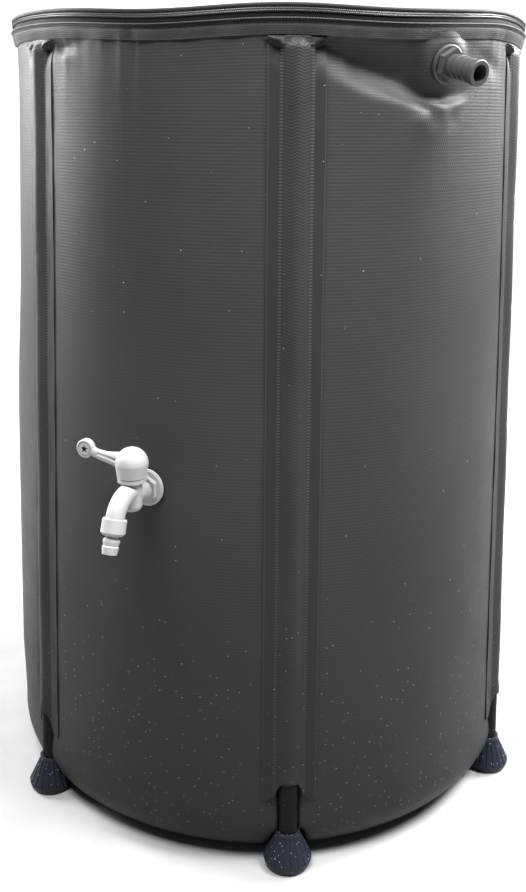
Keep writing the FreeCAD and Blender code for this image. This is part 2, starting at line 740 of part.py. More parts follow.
def make_pull(where, pin_out, pin_high):
    """The flat pull that hangs from the slider's pin."""
    half = "(sizes.lug_inner - sizes.eye_play)"
    along = shift(axis=V(1, 0, 0), angle=90)
    spot = shift(value(pin_out), value(half), value(pin_high)) * along
    eye = primitive("Cylinder", "pull_eye", spot, Radius="sizes.eye_radius", Height=f"2 * {half}")
    thin = (f"{pin_out} - sizes.pull_plate / 2", f"{pin_out} + sizes.pull_plate / 2")
    neck = box("pull_neck", thin, (f"-{half}", half), (f"{pin_high} - sizes.pull_neck", pin_high))
    end = f"({pin_high} - sizes.pull_length)"
    tab = box("pull_tab", thin, ("-sizes.pull_half", "sizes.pull_half"),
              (end, f"{pin_high} - sizes.pull_neck"))
    hole = primitive("Cylinder", "pull_pin_hole", spot, Radius="sizes.pin_radius + sizes.eye_fit",
                     Height=f"2 * {half}")
    slot = box("pull_slot", thin, ("-sizes.pull_slot_half", "sizes.pull_slot_half"),
               (f"{end} + sizes.pull_slot_edge", f"{end} + sizes.pull_slot_edge + sizes.pull_slot"))
    pull = cut("zip_pull_solid", fused("zip_pull_filled", eye, neck, tab), hole, slot)
    pull.Placement = where
    keep("zip_pull", pull)


def make_stops():
    """The block that stops the slider at each end of the zip."""
    middle, half = size("zip_middle"), size("zip_gap") / 2
    inwards = math.degrees(size("stop_half") / value(RIM_RADIUS))
    stops = []
    for step, angle in enumerate((middle - half - inwards, middle + half + inwards)):
        block = box(f"zip_stop_{step}", (COIL_FACE, f"{COIL_FACE} + sizes.stop_depth"),
                    ("-sizes.stop_half", "sizes.stop_half"),
                    (f"{LOWER_COIL} - sizes.stop_overhang",
                     f"{UPPER_COIL} + sizes.coil_height + sizes.stop_overhang"))
        block.Placement = place(angle, 0, 0) * block.Placement
        stops.append(block)
    keep("zip_stops", fused("zip_stops_solid", *stops))


# Threads, washers and nuts that clamp a fitting in the cloth
def hexagon(name, across, length, where, point_up=True):
    """A six-sided block that runs outwards from a place."""
    block = document.addObject("Part::Prism", name)
    block.Polygon = 6
    bind(block, Circumradius=f"{across} / sqrt(3)", Height=length)
    block.Placement = where * OUTWARDS * shift(angle=0 if point_up else 30)
    return block


def make_clamp(fitting, frame):
    """The washers on both sides of the cloth and the nut inside it."""
    radius = f"(sizes.{fitting}_thread + sizes.thread_fit)"
    reach = f"(sizes.{fitting}_flange_radius - sizes.washer_margin)"
    cloth = size("cloth")
    lap = size("layer_gap")
    outer = turned(f"{fitting}_washer_outer_ring", ring(radius, reach, "0", "sizes.washer"))
    outer.Placement = frame * shift(x=lap) * OUTWARDS
    keep(f"{fitting}_washer_outer", outer)
    inner = turned(f"{fitting}_washer_inner_ring", ring(radius, reach, "0", "sizes.washer"))
    inner.Placement = frame * shift(x=-cloth - lap - size("washer")) * OUTWARDS
    keep(f"{fitting}_washer_inner", inner)
    nut_spot = frame * shift(x=-cloth - 2 * lap - size("washer") - size("nut_height"))
    block = hexagon(f"{fitting}_nut_block", f"2 * ({radius} + sizes.nut_margin)", "sizes.nut_height",
                    nut_spot)
    hole = primitive("Cylinder", f"{fitting}_nut_hole", nut_spot * OUTWARDS, Radius=radius,
                     Height="sizes.nut_height")
    keep(f"{fitting}_nut", cut(f"{fitting}_nut_solid", block, hole))


# The tap
def make_tap():
    """The tap in its own frame: X points out of the wall and Z is up."""
    make_clamp("tap", TAP)
    make_tap_body()
    make_valve()
    make_outlet()
    make_handle()


SPOUT_START = shift(size("tap_reach"), 0, size("spout_height"))
BEND_CENTRE = SPOUT_START * shift(x=size("spout_start"), z=-size("spout_bend"))
BEND_END = BEND_CENTRE * shift(axis=V(0, 1, 0), angle=90 - size("outlet_tilt")) * shift(z=size("spout_bend"))
OUTLET = BEND_END * OUTWARDS
VALVE = TAP * shift(x=size("tap_reach"))


def spout_pieces(name, radius):
    """A round bar that leaves the chamber level and bends down to the outlet."""
    run = primitive("Cylinder", name + "_run", SPOUT_START * OUTWARDS, Radius=radius,
                    Height="sizes.spout_start")
    flat = BEND_CENTRE * shift(axis=V(1, 0, 0), angle=90) * shift(angle=size("outlet_tilt"))
    bend = primitive("Torus", name + "_bend", flat, Radius1="sizes.spout_bend", Radius2=radius,
                     Angle3="90 - sizes.outlet_tilt")
    return [run, bend]


def make_tap_body():
    """The moulded body: thread, flange, hexagon, neck, valve chamber and spout."""
    back = "-(sizes.tap_thread_length)"
    seat = "sizes.layer_gap + sizes.washer"
    face = f"({seat} + sizes.tap_flange)"
    hexagon_end = f"({face} + sizes.tap_hex_length)"
    inlet = turned("tap_inlet", [
        (back, "0"), (back, "sizes.tap_thread"), (seat, "sizes.tap_thread"),
        (seat, "sizes.tap_flange_radius"), (f"{face} - sizes.bevel", "sizes.tap_flange_radius"),
        (face, "sizes.tap_face_radius"), (face, "sizes.tap_core"), (hexagon_end, "sizes.tap_core"),
        (f"{hexagon_end} + sizes.tap_taper", "sizes.tap_neck"), ("sizes.tap_reach", "sizes.tap_neck"),
        ("sizes.tap_reach", "0"),
    ], axis="H_Axis")
    across = hexagon("tap_hexagon", "sizes.tap_hex", "sizes.tap_hex_length", shift(x=value(face)))
    chamber = turned("tap_chamber", [
        ("0", "-sizes.chamber_bottom"),
        ("sizes.chamber_radius - sizes.chamber_round", "-sizes.chamber_bottom"),
        ("sizes.chamber_radius", "-sizes.chamber_bottom + sizes.chamber_round", "sizes.chamber_round", 1),
        ("sizes.chamber_radius", "sizes.chamber_top - sizes.chamber_flare"),
        ("sizes.chamber_lip", "sizes.chamber_top"),
        ("0", "sizes.chamber_top"),
    ])
    chamber.Placement = shift(x=size("tap_reach"))
    outlet = primitive("Cylinder", "tap_outlet", OUTLET, Radius="sizes.outlet_thread",
                       Height="sizes.outlet_length")
    spout = spout_pieces("tap_spout", "sizes.spout_radius")
    bores = [
        primitive("Cylinder", "tap_inlet_bore", shift(x=value(back)) * OUTWARDS,
                  Radius="sizes.tap_bore", Height="sizes.tap_thread_length + sizes.tap_reach"),
        primitive("Cylinder", "tap_plug_bore", shift(x=size("tap_reach"), z=-size("plug_low")),
                  Radius="sizes.chamber_bore", Height="sizes.plug_low + sizes.chamber_top"),
        *spout_pieces("tap_spout_bore", "sizes.spout_bore"),
        primitive("Cylinder", "tap_outlet_bore", OUTLET, Radius="sizes.spout_bore",
                  Height="sizes.outlet_length"),
    ]
    body = cut("tap_body_solid", fused("tap_filled", inlet, across, chamber, *spout, outlet), *bores)
    body.Placement = TAP
    keep("tap_body", body)


def make_valve():
    """The turning plug with its stem, its ring seal and the bonnet that holds them in."""
    room = "(sizes.chamber_bore - sizes.plug_play)"
    stem, floor = "sizes.stem_radius", "(sizes.plug_lift - sizes.plug_low)"
    plug = turned("tap_plug_turned", [
        ("0", floor), (room, floor), (room, "sizes.plug_high"),
        (stem, "sizes.plug_high"), (stem, "sizes.stem_top"), ("0", "sizes.stem_top"),
    ])
    slant = math.degrees(math.atan2(size("spout_height"), 2 * size("chamber_bore")))
    across = shift(z=size("spout_height") / 2, axis=V(1, 0, 0), angle=90 - slant)
    hole = primitive("Cylinder", "plug_waterway", across * shift(z=-2 * size("chamber_bore")),
                     Radius="sizes.plug_hole", Height="4 * sizes.chamber_bore")
    valve = cut("tap_plug_solid", plug, hole)
    valve.Placement = VALVE
    keep("tap_plug", valve)
    sleeve = f"{stem} + sizes.stem_play"
    low = "sizes.plug_high + sizes.seal_play"
    seal = turned("tap_seal_ring", ring(sleeve, f"{room} - sizes.seal_play", low, f"{low} + sizes.seal"))
    seal.Placement = VALVE
    keep("tap_seal", seal)
    under = f"{low} + sizes.seal + sizes.seal_play"
    shoulder, top = "sizes.chamber_top + sizes.bonnet_gap", "sizes.chamber_top + sizes.bonnet_height"
    bonnet = turned("tap_bonnet_ring", [
        (sleeve, under), (room, under), (room, shoulder), ("sizes.bonnet_radius", shoulder),
        ("sizes.bonnet_radius", f"{top} - sizes.bonnet_edge"),
        ("sizes.bonnet_radius - sizes.bonnet_edge", top), (sleeve, top),
    ])
    bonnet.Placement = VALVE
    keep("tap_bonnet", bonnet)


def make_outlet():
    """The union nut, the stepped hose tail that it holds and the washer between them."""
    inside, end = "(sizes.spout_radius + sizes.union_play)", "sizes.union_length"
    collar = "(sizes.tail_neck + sizes.union_play)"
    back, edge = "-sizes.union_back", "sizes.union_back"
    union = turned("tap_union_nut", [
        (inside, back), (f"sizes.union_radius - {edge}", back), ("sizes.union_radius", "0"),
        ("sizes.union_radius", f"{end} - sizes.union_bevel"),
        (f"sizes.union_radius - sizes.union_bevel", end), (collar, end),
        (collar, f"{end} - sizes.union_wall"), (inside, f"{end} - sizes.union_wall"),
    ])
    rim = "sizes.outlet_thread - sizes.union_play"
    low = "sizes.outlet_length + sizes.outlet_gap"
    washer = turned("tap_outlet_washer_ring", ring(
        "sizes.spout_bore", rim, low, f"{low} + sizes.outlet_washer"))
    face = f"({low} + sizes.outlet_washer + sizes.outlet_gap)"
    back_face = f"({end} - sizes.union_wall - sizes.outlet_gap)"
    grip, crest, step = "sizes.tail_radius", "sizes.tail_crest", "sizes.tail_step"
    bite = f"{grip} - sizes.tail_bite"
    first = f"({end} + sizes.tail_start)"
    tail = turned("tap_hose_tail_solid", [
        ("sizes.tail_bore", face), (rim, face), (rim, back_face), ("sizes.tail_neck", back_face),
        ("sizes.tail_neck", first), (grip, f"{first} + {crest}"), (grip, f"{first} + 3 * {crest}"),
        (bite, f"{first} + {step} - {crest}"), (grip, f"{first} + {step}"),
        (bite, f"{first} + 2 * {step} - {crest}"), ("sizes.tail_bore", f"{first} + 2 * {step} - {crest}"),
    ])
    for label, piece in (("tap_union", union), ("tap_outlet_washer", washer), ("tap_hose_tail", tail)):
        piece.Placement = TAP * OUTLET
        keep(label, piece)


def lever_section(part, reach, rise, width, depth):
    """An upright ellipse of the lever's bar, by its distance from the valve's axis and its height."""
    curve = document.addObject("Part::Ellipse", "lever_" + part)
    bind(curve, MajorRadius=depth, MinorRadius=width)
    curve.Placement = shift(0, -value(reach), value(rise), V(0, 0, 1), 90) * OUTWARDS
    return curve


def make_lever():
    """The bar that runs out from the dome, its end disc, and what is cut into them."""
    bar = document.addObject("Part::Loft", "lever_bar")
    bar.Sections = [
        lever_section(part, *(f"sizes.{part}_{word}" for word in ("reach", "rise", "width", "depth")))
        for part in ("root", "waist", "bar")
    ] + [lever_section("end", "sizes.lever_reach - sizes.lever_lap", "sizes.lever_height - sizes.lever_edge",
                       "sizes.bar_width", "sizes.bar_depth")]
    bar.Solid = True
    edge, radius, thick = "sizes.lever_edge", "sizes.lever_disc", "sizes.lever_thickness"
    disc = turned("lever_disc", [
        ("0", "0"), (f"{radius} - {edge}", "0"), (radius, edge), (radius, f"{thick} - {edge}"),
        (f"{radius} - {edge}", thick), ("0", thick),
    ])
    half = size("lever_thickness") / 2
    disc.Placement = shift(-half, -size("lever_reach"), size("lever_height")) * OUTWARDS
    circle = turned("lever_circle", ring("sizes.circle_inner", "sizes.circle_outer",
                                         f"{thick} - sizes.circle_depth", f"{thick} + {edge}"))
    circle.Placement = disc.Placement
    star = padded("lever_star", "YZ_Plane", star_corners(), "2 * sizes.star_depth")
    star.Placement = shift(half - size("star_depth"), -size("lever_reach"), size("lever_height"))
    climb = math.degrees(math.atan2(size("lever_height") - size("groove_rise"),
                                    size("lever_reach") - size("groove_start")))
    start = shift(size("groove_out"), -size("groove_start"), size("groove_rise"), V(1, 0, 0), 90 - climb)
    groove = primitive("Cylinder", "lever_groove", start, Radius="sizes.groove_radius",
                       Height="sizes.groove_length")
    return [bar, disc], [circle, star, groove]


def make_handle():
    """The domed handle with its lever, which ends in a disc with a star-shaped hole."""
    skirt, radius, thick = "sizes.handle_skirt", "sizes.handle_radius", "sizes.handle_wall"
    crown = "(sizes.handle_middle + sizes.handle_radius)"
    dome = turned("handle_dome", [
        ("0", "sizes.handle_low"), (skirt, "sizes.handle_low"), (radius, "sizes.handle_middle"),
        ("0", crown, radius, 1),
    ])
    below = "sizes.handle_low - sizes.grip_lift"
    hollow = turned("handle_hollow", [
        ("0", below), (f"{skirt} - {thick}", below),
        (f"{radius} - {thick}", "sizes.handle_middle"), ("0", f"{crown} - {thick}", f"{radius} - {thick}", 1),
    ])
    hold = "sizes.stem_radius + sizes.stem_fit"
    grip = turned("handle_grip", ring(hold, f"{hold} + sizes.grip_wall", "sizes.handle_low + sizes.grip_lift",
                                      f"{crown} - {thick}"))
    added, removed = make_lever()
    outside = cut("handle_outside", fused("handle_filled", dome, *added), hollow, *removed)
    handle = fused("tap_handle_solid", outside, grip)
    handle.Placement = VALVE
    keep("tap_handle", handle)


def star_corners():
    """Ten corners of a five-pointed star."""
    corners = []
    for step in range(10):
        angle, reach = 90 + 36 * step, "sizes.star_radius" if step % 2 == 0 else "sizes.star_notch"
        corners.append((f"{reach} * cos({angle})", f"{reach} * sin({angle})"))
    return corners


# The overflow
def make_overflow():
    """The overflow's fitting: thread, flange, hexagon and a stepped barb, bored right through."""
    make_clamp("overflow", OVERFLOW)
    seat = "sizes.layer_gap + sizes.washer"
    face = f"({seat} + sizes.overflow_flange)"
    base = f"({face} + sizes.overflow_hex_length)"
    grip, crest = "sizes.barb_radius", "sizes.barb_crest"
    bite = f"{grip} - sizes.barb_bite"
    section = [
        ("-sizes.overflow_thread_length", "sizes.barb_bore"),
        ("-sizes.overflow_thread_length", "sizes.overflow_thread"),
        (seat, "sizes.overflow_thread"), (seat, "sizes.overflow_flange_radius"),
        (f"{face} - sizes.bevel", "sizes.overflow_flange_radius"), (face, "sizes.overflow_face_radius"),
        (face, grip), (base, grip), (base, bite),
    ]
    for step in range(1, BARBS + 1):
        end = f"{base} + {step} * sizes.barb_step"
        section += [(f"{end} - {crest}", grip), (end, bite)]
    lip = "sizes.barb_lip_radius"
    mouth = f"({base} + {BARBS} * sizes.barb_step + {crest} + sizes.barb_lip)"
    section += [
        (f"{mouth} - sizes.barb_lip", lip), (f"{mouth} - sizes.bevel", lip),
        (mouth, f"{lip} - sizes.bevel"), (mouth, "sizes.barb_bore"),
    ]
    pipe = turned("overflow_pipe", section, axis="H_Axis")
    across = hexagon("overflow_hexagon", "sizes.overflow_hex", "sizes.overflow_hex_length",
                     shift(x=value(face)))
    bore = primitive("Cylinder", "overflow_bore", OUTWARDS, Radius="sizes.barb_bore", Height=mouth)
    body = cut("overflow_body_solid", fused("overflow_filled", pipe, across), bore)
    body.Placement = OVERFLOW
    keep("overflow_body", body)


def write_nodes():
    """Checks every object and writes each sub-part's solid."""
    document.recompute()
    for thing in document.Objects:
        troubles = {"Invalid", "Error"} & set(thing.State)
        if troubles:
            raise RuntimeError(f"{thing.Name} ({thing.Label}) is {sorted(troubles)}")
    os.makedirs("parts", exist_ok=True)
    for node in nodes:
        shape = node.Shape
        if shape.isNull() or not shape.isValid() or not shape.Solids:
            raise RuntimeError(f"{node.Label} has no sound solid")
    for node in nodes:
        node.Shape.exportStep(f"parts/{node.Label}.step")
        box_now = node.Shape.BoundBox
        print(f"{node.Label:24s} solids {len(node.Shape.Solids)} volume {node.Shape.Volume:11.1f} "
              f"z {box_now.ZMin:7.2f} to {box_now.ZMax:7.2f}")


make_wall()
make_base()
for pole_angle, pole_name in zip(POLE_ANGLES, POLE_NAMES):
    make_sleeve(pole_angle, pole_name)
    make_pole(pole_angle, pole_name)
make_rim()
make_zip_fittings()
make_tap()
make_overflow()
write_nodes()
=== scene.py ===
"""The dressed rain barrel: coated cloth, welded sleeves, rim, zip, lid and mouldings over the fixed frame.

Shapes are worked out in millimetres, and written to their meshes in metres. Angles round the barrel
are in degrees, counted from the front (-Y) and positive towards +X.
"""

import json
import logging
import math
from dataclasses import dataclass
from enum import Enum

import bpy
import numpy as np
from mathutils import Matrix, Vector


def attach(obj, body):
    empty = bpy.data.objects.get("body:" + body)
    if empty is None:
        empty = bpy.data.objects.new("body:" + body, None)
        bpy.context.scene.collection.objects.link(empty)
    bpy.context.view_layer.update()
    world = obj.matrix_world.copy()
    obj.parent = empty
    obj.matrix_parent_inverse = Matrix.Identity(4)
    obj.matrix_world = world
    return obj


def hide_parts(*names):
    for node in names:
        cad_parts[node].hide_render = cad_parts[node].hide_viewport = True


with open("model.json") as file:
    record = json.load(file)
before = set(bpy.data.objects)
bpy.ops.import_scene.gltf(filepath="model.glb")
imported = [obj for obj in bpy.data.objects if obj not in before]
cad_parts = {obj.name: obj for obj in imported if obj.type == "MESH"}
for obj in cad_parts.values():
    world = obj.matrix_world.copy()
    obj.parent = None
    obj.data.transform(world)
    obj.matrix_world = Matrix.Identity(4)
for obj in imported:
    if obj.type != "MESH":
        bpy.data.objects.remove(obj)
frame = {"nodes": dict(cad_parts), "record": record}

Array = np.ndarray
Color = tuple[float, float, float]
Place = tuple[float, float, float]
Socket = bpy.types.NodeSocket
Material = bpy.types.Material
Piece = bpy.types.Object
LOG = logging.getLogger("rain_barrel")
METRES = 0.001
CLOTH = 1.0  # thickness of the coated cloth
CLOTH_MAP = "cloth"
MIX_A, MIX_B, MIX_OUT = 6, 7, 2  # the colour sockets of a mix node


# Curves and places
def rise(value: Array, low: float, high: float) -> Array:
    """A soft step.

    Args:
        value: Where to read the step.
        low: Where it starts to rise from 0.
        high: Where it reaches 1.

    Returns:
        3t squared less 2t cubed, with t running from 0 at low to 1 at high.
    """
    share = np.clip((value - low) / (high - low), 0.0, 1.0)
    return share * share * (3.0 - 2.0 * share)


def fall(value: Array, low: float, high: float) -> Array:
    """A soft step down: 1 at low and 0 at high."""
    return 1.0 - rise(value, low, high)


def bell(value: Array, centre: float, width: float) -> Array:
    """A soft hump: e to the power of minus the square of the distance from its centre over its width."""
    return np.exp(-(((value - centre) / width) ** 2))


def turned_by(angle: Array, centre: float) -> Array:
    """The angle from a centre, in degrees from -180 to 180."""
    return (angle - centre + 180.0) % 360.0 - 180.0


def hump(angle: Array, centre: float, width: float) -> Array:
    """A soft hump round the barrel, in degrees."""
    return bell(turned_by(angle, centre), 0.0, width)


def grid_of(*axes: Array) -> Array:
    """One grid of places from coordinates that run along its rows, its columns or both."""
    return np.stack(np.broadcast_arrays(*axes), axis=-1)


def on_circle(angle: Array, radius: Array, height: Array) -> Array:
    """Points at angles, radii and heights round the barrel: (r sin a, -r cos a, z)."""
    turn = np.radians(angle)
    return grid_of(radius * np.sin(turn), -radius * np.cos(turn), height)


# Meshes
def cells_of(ids: Array) -> Array:
    """The faces between neighbours in a grid of corner numbers."""
    return np.stack([ids[:-1, :-1], ids[:-1, 1:], ids[1:, 1:], ids[1:, :-1]], axis=-1).reshape(-1, 4)


def new_piece(name: str, points: Array, faces: Array, uv: Array | None = None) -> Piece:
    """Makes a smooth piece from points and faces that all have as many corners.

    Args:
        name: The piece's name.
        points: Its corners, in millimetres.
        faces: One row of corner numbers for each face.
        uv: Places on the cloth for each corner of each face, in metres.

    Returns:
        The new object, linked to the scene.
    """
    mesh = bpy.data.meshes.new(name)
    mesh.vertices.add(len(points))
    mesh.vertices.foreach_set("co", (points * METRES).astype(np.float32).ravel())
    mesh.loops.add(faces.size)
    mesh.loops.foreach_set("vertex_index", faces.astype(np.int32).ravel())
    mesh.polygons.add(len(faces))
    mesh.polygons.foreach_set("loop_start", np.arange(0, faces.size, faces.shape[1], dtype=np.int32))
    if uv is not None:
        layer = mesh.uv_layers.new(name=CLOTH_MAP)
        layer.uv.foreach_set("vector", uv.astype(np.float32).ravel())
    mesh.update(calc_edges=True)
    mesh.shade_smooth()
    piece = bpy.data.objects.new(name, mesh)
    bpy.context.scene.collection.objects.link(piece)
    return piece


def facing(points: Array, faces: Array) -> int:
    """Whether closed faces look outwards.

    Args:
        points: The corners.
        faces: One row of corner numbers for each face.

    Returns:
        1 where they do and -1 where they don't: the sign of their volume, which is the sum of
        a . (b x c) / 6 over the triangles a, b, c of each face.
    """
    total = 0.0
    for corner in range(1, faces.shape[1] - 1):
        a, b, c = (points[faces[:, k]] for k in (0, corner, corner + 1))
        total += float(np.einsum("ij,ij->i", a, np.cross(b, c)).sum())
    return -1 if total < 0 else 1


def closed_cloth(name: str, outer: Array, inner: Array, uv: Array, ring: bool = False) -> Piece:
    """A sheet with a thickness: two grids of points joined along their edges.

    Args:
        name: The piece's name.
        outer: The outside, as rows by columns by 3, in millimetres.
        inner: The inside, of the same shape.
        uv: Places on the cloth, as rows by columns by 2, in millimetres.
        ring: Whether the last column lies on the first.

    Returns:
        The new object, with its faces outwards.
    """
    rows, columns = outer.shape[:2]
    used = columns - int(ring)
    ids = np.arange(rows * used).reshape(rows, used)
    if ring:
        ids = np.column_stack([ids, ids[:, 0]])
    corner_of = np.concatenate([ids.ravel(), ids.ravel() + rows * used])
    place_of = np.concatenate([uv.reshape(-1, 2)] * 2) * METRES
    cell = np.arange(rows * columns).reshape(rows, columns)
    far = rows * columns
    front = cells_of(cell)
    paths = [cell[0][::-1], cell[-1]]
    if not ring:
        paths += [cell[:, 0], cell[::-1, -1]]
    bands = [np.stack([path[:-1], path[1:], path[1:] + far, path[:-1] + far], axis=-1) for path in paths]
    cells = np.concatenate([front, front[:, ::-1] + far, *bands])
    points = np.concatenate([outer[:, :used].reshape(-1, 3), inner[:, :used].reshape(-1, 3)])
    cells = cells[:, ::facing(points, corner_of[cells])]
    return new_piece(name, points, corner_of[cells], place_of[cells])


def ring_bar(name: str, centre: Array, section: Array) -> Piece:
    """A closed section carried once round the barrel.

    Args:
        name: The piece's name.
        centre: Angle, radius and height of the section's middle, one row for each step.
        section: Outward and upward offsets of the section's corners, in order.

    Returns:
        The new object: point (i, j) lies at step i's middle plus corner j's offsets.
    """
    points = on_circle(centre[:, :1], centre[:, 1:2] + section[:, 0], centre[:, 2:] + section[:, 1])
    ids = np.pad(np.arange(points[..., 0].size).reshape(points.shape[:2]), (0, 1), mode="wrap")
    points, faces = points.reshape(-1, 3), cells_of(ids.T)
    return new_piece(name, points, faces[:, ::facing(points, faces)])


# Finishes
class Nodes:
    """Builds a material's node tree, one small step at a time."""

    def __init__(self, name: str) -> None:
        """Starts a material with an empty tree.

        Args:
            name: The material's name.
        """
        self.material = bpy.data.materials.new(name)
        self.material.use_nodes = True
        self.tree = self.material.node_tree
        self.tree.nodes.clear()
        self.shader = self.add("BsdfPrincipled")
        output = self.add("OutputMaterial")
        self.link(self.shader.outputs["BSDF"], output.inputs["Surface"])

    def add(self, kind: str, inputs: dict | None = None, **settings: str) -> bpy.types.Node:
        """Adds one shader node.

        Args:
            kind: The kind of node.
            inputs: What each input, by its name or number, holds or is linked to.
            settings: The node's own settings.

        Returns:
            The node.
        """
        node = self.tree.nodes.new("ShaderNode" + kind)
        for name, value in settings.items():
            setattr(node, name, value)
        for name, source in (inputs or {}).items():
            self.feed(node.inputs[name], source)
        return node

    def link(self, source: Socket, socket: Socket) -> None:
        """Links an output to an input."""
        self.tree.links.new(source, socket)

    def feed(self, socket: Socket, source: Socket | float) -> None:
        """Sets a socket to a number, or links it to another node's output."""
        if isinstance(source, Socket):
            self.link(source, socket)
        else:
            socket.default_value = source

    def sum(self, operation: str, *sources: Socket | float) -> Socket:
        """One step of arithmetic.

        Args:
            operation: The operation's name.
            sources: Numbers or outputs that it works on.

        Returns:
            The result's output.
        """
        return self.add("Math", dict(enumerate(sources)), operation=operation).outputs[0]

    def times(self, one: Socket | float, other: Socket | float) -> Socket:
        """One value times another."""
        return self.sum("MULTIPLY", one, other)

    def object_place(self) -> Socket:
        """The place on the object, in metres."""
        return self.add("TexCoord").outputs["Object"]

    def measured(self, operation: str, other: Place) -> Socket:
        """A measure of the place on the object against a fixed point or direction.

        Args:
            operation: DISTANCE for how far the point is, DOT_PRODUCT for how far the place lies that way.
            other: The point or direction.

        Returns:
            The measure's output.
        """
        inputs = {0: self.object_place(), 1: other}
        return self.add("VectorMath", inputs, operation=operation).outputs["Value"]

    def height(self) -> Socket:
        """The height over the floor, in metres."""
        return self.add("SeparateXYZ", {0: self.object_place()}).outputs[2]

    def cloth_place(self) -> tuple[Socket, Socket]:
        """The two places on the cloth's own map, in millimetres."""
        parts = self.add("SeparateXYZ", {0: self.add("UVMap", uv_map=CLOTH_MAP).outputs["UV"]})
        return tuple(self.times(parts.outputs[axis], 1.0 / METRES) for axis in (0, 1))

    def noise(self, scale: float, detail: float = 3.0) -> Socket:
        """Cloudy noise over the object, from 0 to 1."""
        inputs = {"Vector": self.object_place(), "Scale": scale, "Detail": detail}
        return self.add("TexNoise", inputs).outputs["Fac"]

    def between(self, source: Socket, low: float, high: float,
                start: float = 0.0, end: float = 1.0) -> Socket:
        """Carries a value from one range to another, held at its ends.

        Args:
            source: The output to read.
            low: What stands for start.
            high: What stands for end.
            start: The result at low.
            end: The result at high.

        Returns:
            The result's output.
        """
        inputs = {"Value": source, "From Min": low, "From Max": high, "To Min": start, "To Max": end}
        return self.add("MapRange", inputs).outputs["Result"]

    def wave(self, place: Socket, pitch: float) -> Socket:
        """The sine of a place, once round for each pitch."""
        return self.sum("SINE", self.times(place, math.tau / pitch))

    def zigzag(self, across: Socket, along: Socket, half: float, slope: float, pitch: float) -> Socket:
        """Lines that run up and down across a band.

        Args:
            across: The place that the lines turn back along.
            along: The place that the lines follow each other along.
            half: Half the width of one zig and zag.
            slope: How far a line climbs for each step across.
            pitch: From one line to the next.

        Returns:
            The sine of the place along plus the slope times the folded place across.
        """
        folded = self.times(self.sum("PINGPONG", across, half), slope)
        return self.wave(self.sum("ADD", along, folded), pitch)

    def shade(self, color: Color, share: Socket) -> None:
        """Sets the base colour to a colour times a share that varies over the surface."""
        grey = self.add("CombineColor", dict.fromkeys(range(3), share))
        inputs = {"Factor": 1.0, MIX_A: (*color, 1.0), MIX_B: grey.outputs[0]}
        mixed = self.add("Mix", inputs, data_type="RGBA", blend_type="MULTIPLY")
        self.link(mixed.outputs[MIX_OUT], self.shader.inputs["Base Color"])

    def bump(self, height: Socket, distance: float) -> None:
        """Adds relief over what is there.

        Args:
            height: The output that gives the height, from 0 to 1.
            distance: How high 1 stands, in metres.
        """
        normal = self.shader.inputs["Normal"]
        inputs = {"Height": height, "Distance": distance, "Strength": 1.0}
        if normal.is_linked:
            inputs["Normal"] = normal.links[0].from_socket
        self.link(self.add("Bump", inputs).outputs["Normal"], normal)

    def drops(self, scale: float, size: float, low: float, high: float) -> Socket:
        """Small round drops that thin out with height.

        Args:
            scale: How many cells the drops have in a metre.
            size: The radius of a drop, as a share of a cell.
            low: The height in metres below which most cells have one.
            high: The height above which none has.

        Returns:
            An output that is 1 in the middle of a drop and 0 between drops.
        """
        cells = self.add("TexVoronoi", {"Vector": self.object_place(), "Scale": scale})
        chance = self.add("SeparateColor", {0: cells.outputs["Color"]}).outputs[0]
        kept = self.sum("LESS_THAN", chance, self.between(self.height(), low, high, 0.7, 0.02))
        return self.times(self.between(cells.outputs["Distance"], 0.0, size, 1.0, 0.0), kept)


    def settle(self, share: Socket, rough: Socket, shine: float, color: Color) -> Material:
        """Sets the shader's colour, roughness and strength of reflections, and hands over the material."""
        self.shade(color, share)
        self.feed(self.shader.inputs["Roughness"], rough)
        self.shader.inputs["Specular IOR Level"].default_value = shine
        return self.material


class Weave(Enum):
    """What is pressed into a coated cloth."""

    DASHES = "dashes"
    SLEEVE = "sleeve"
    RIM = "rim"
    TAPE = "tape"


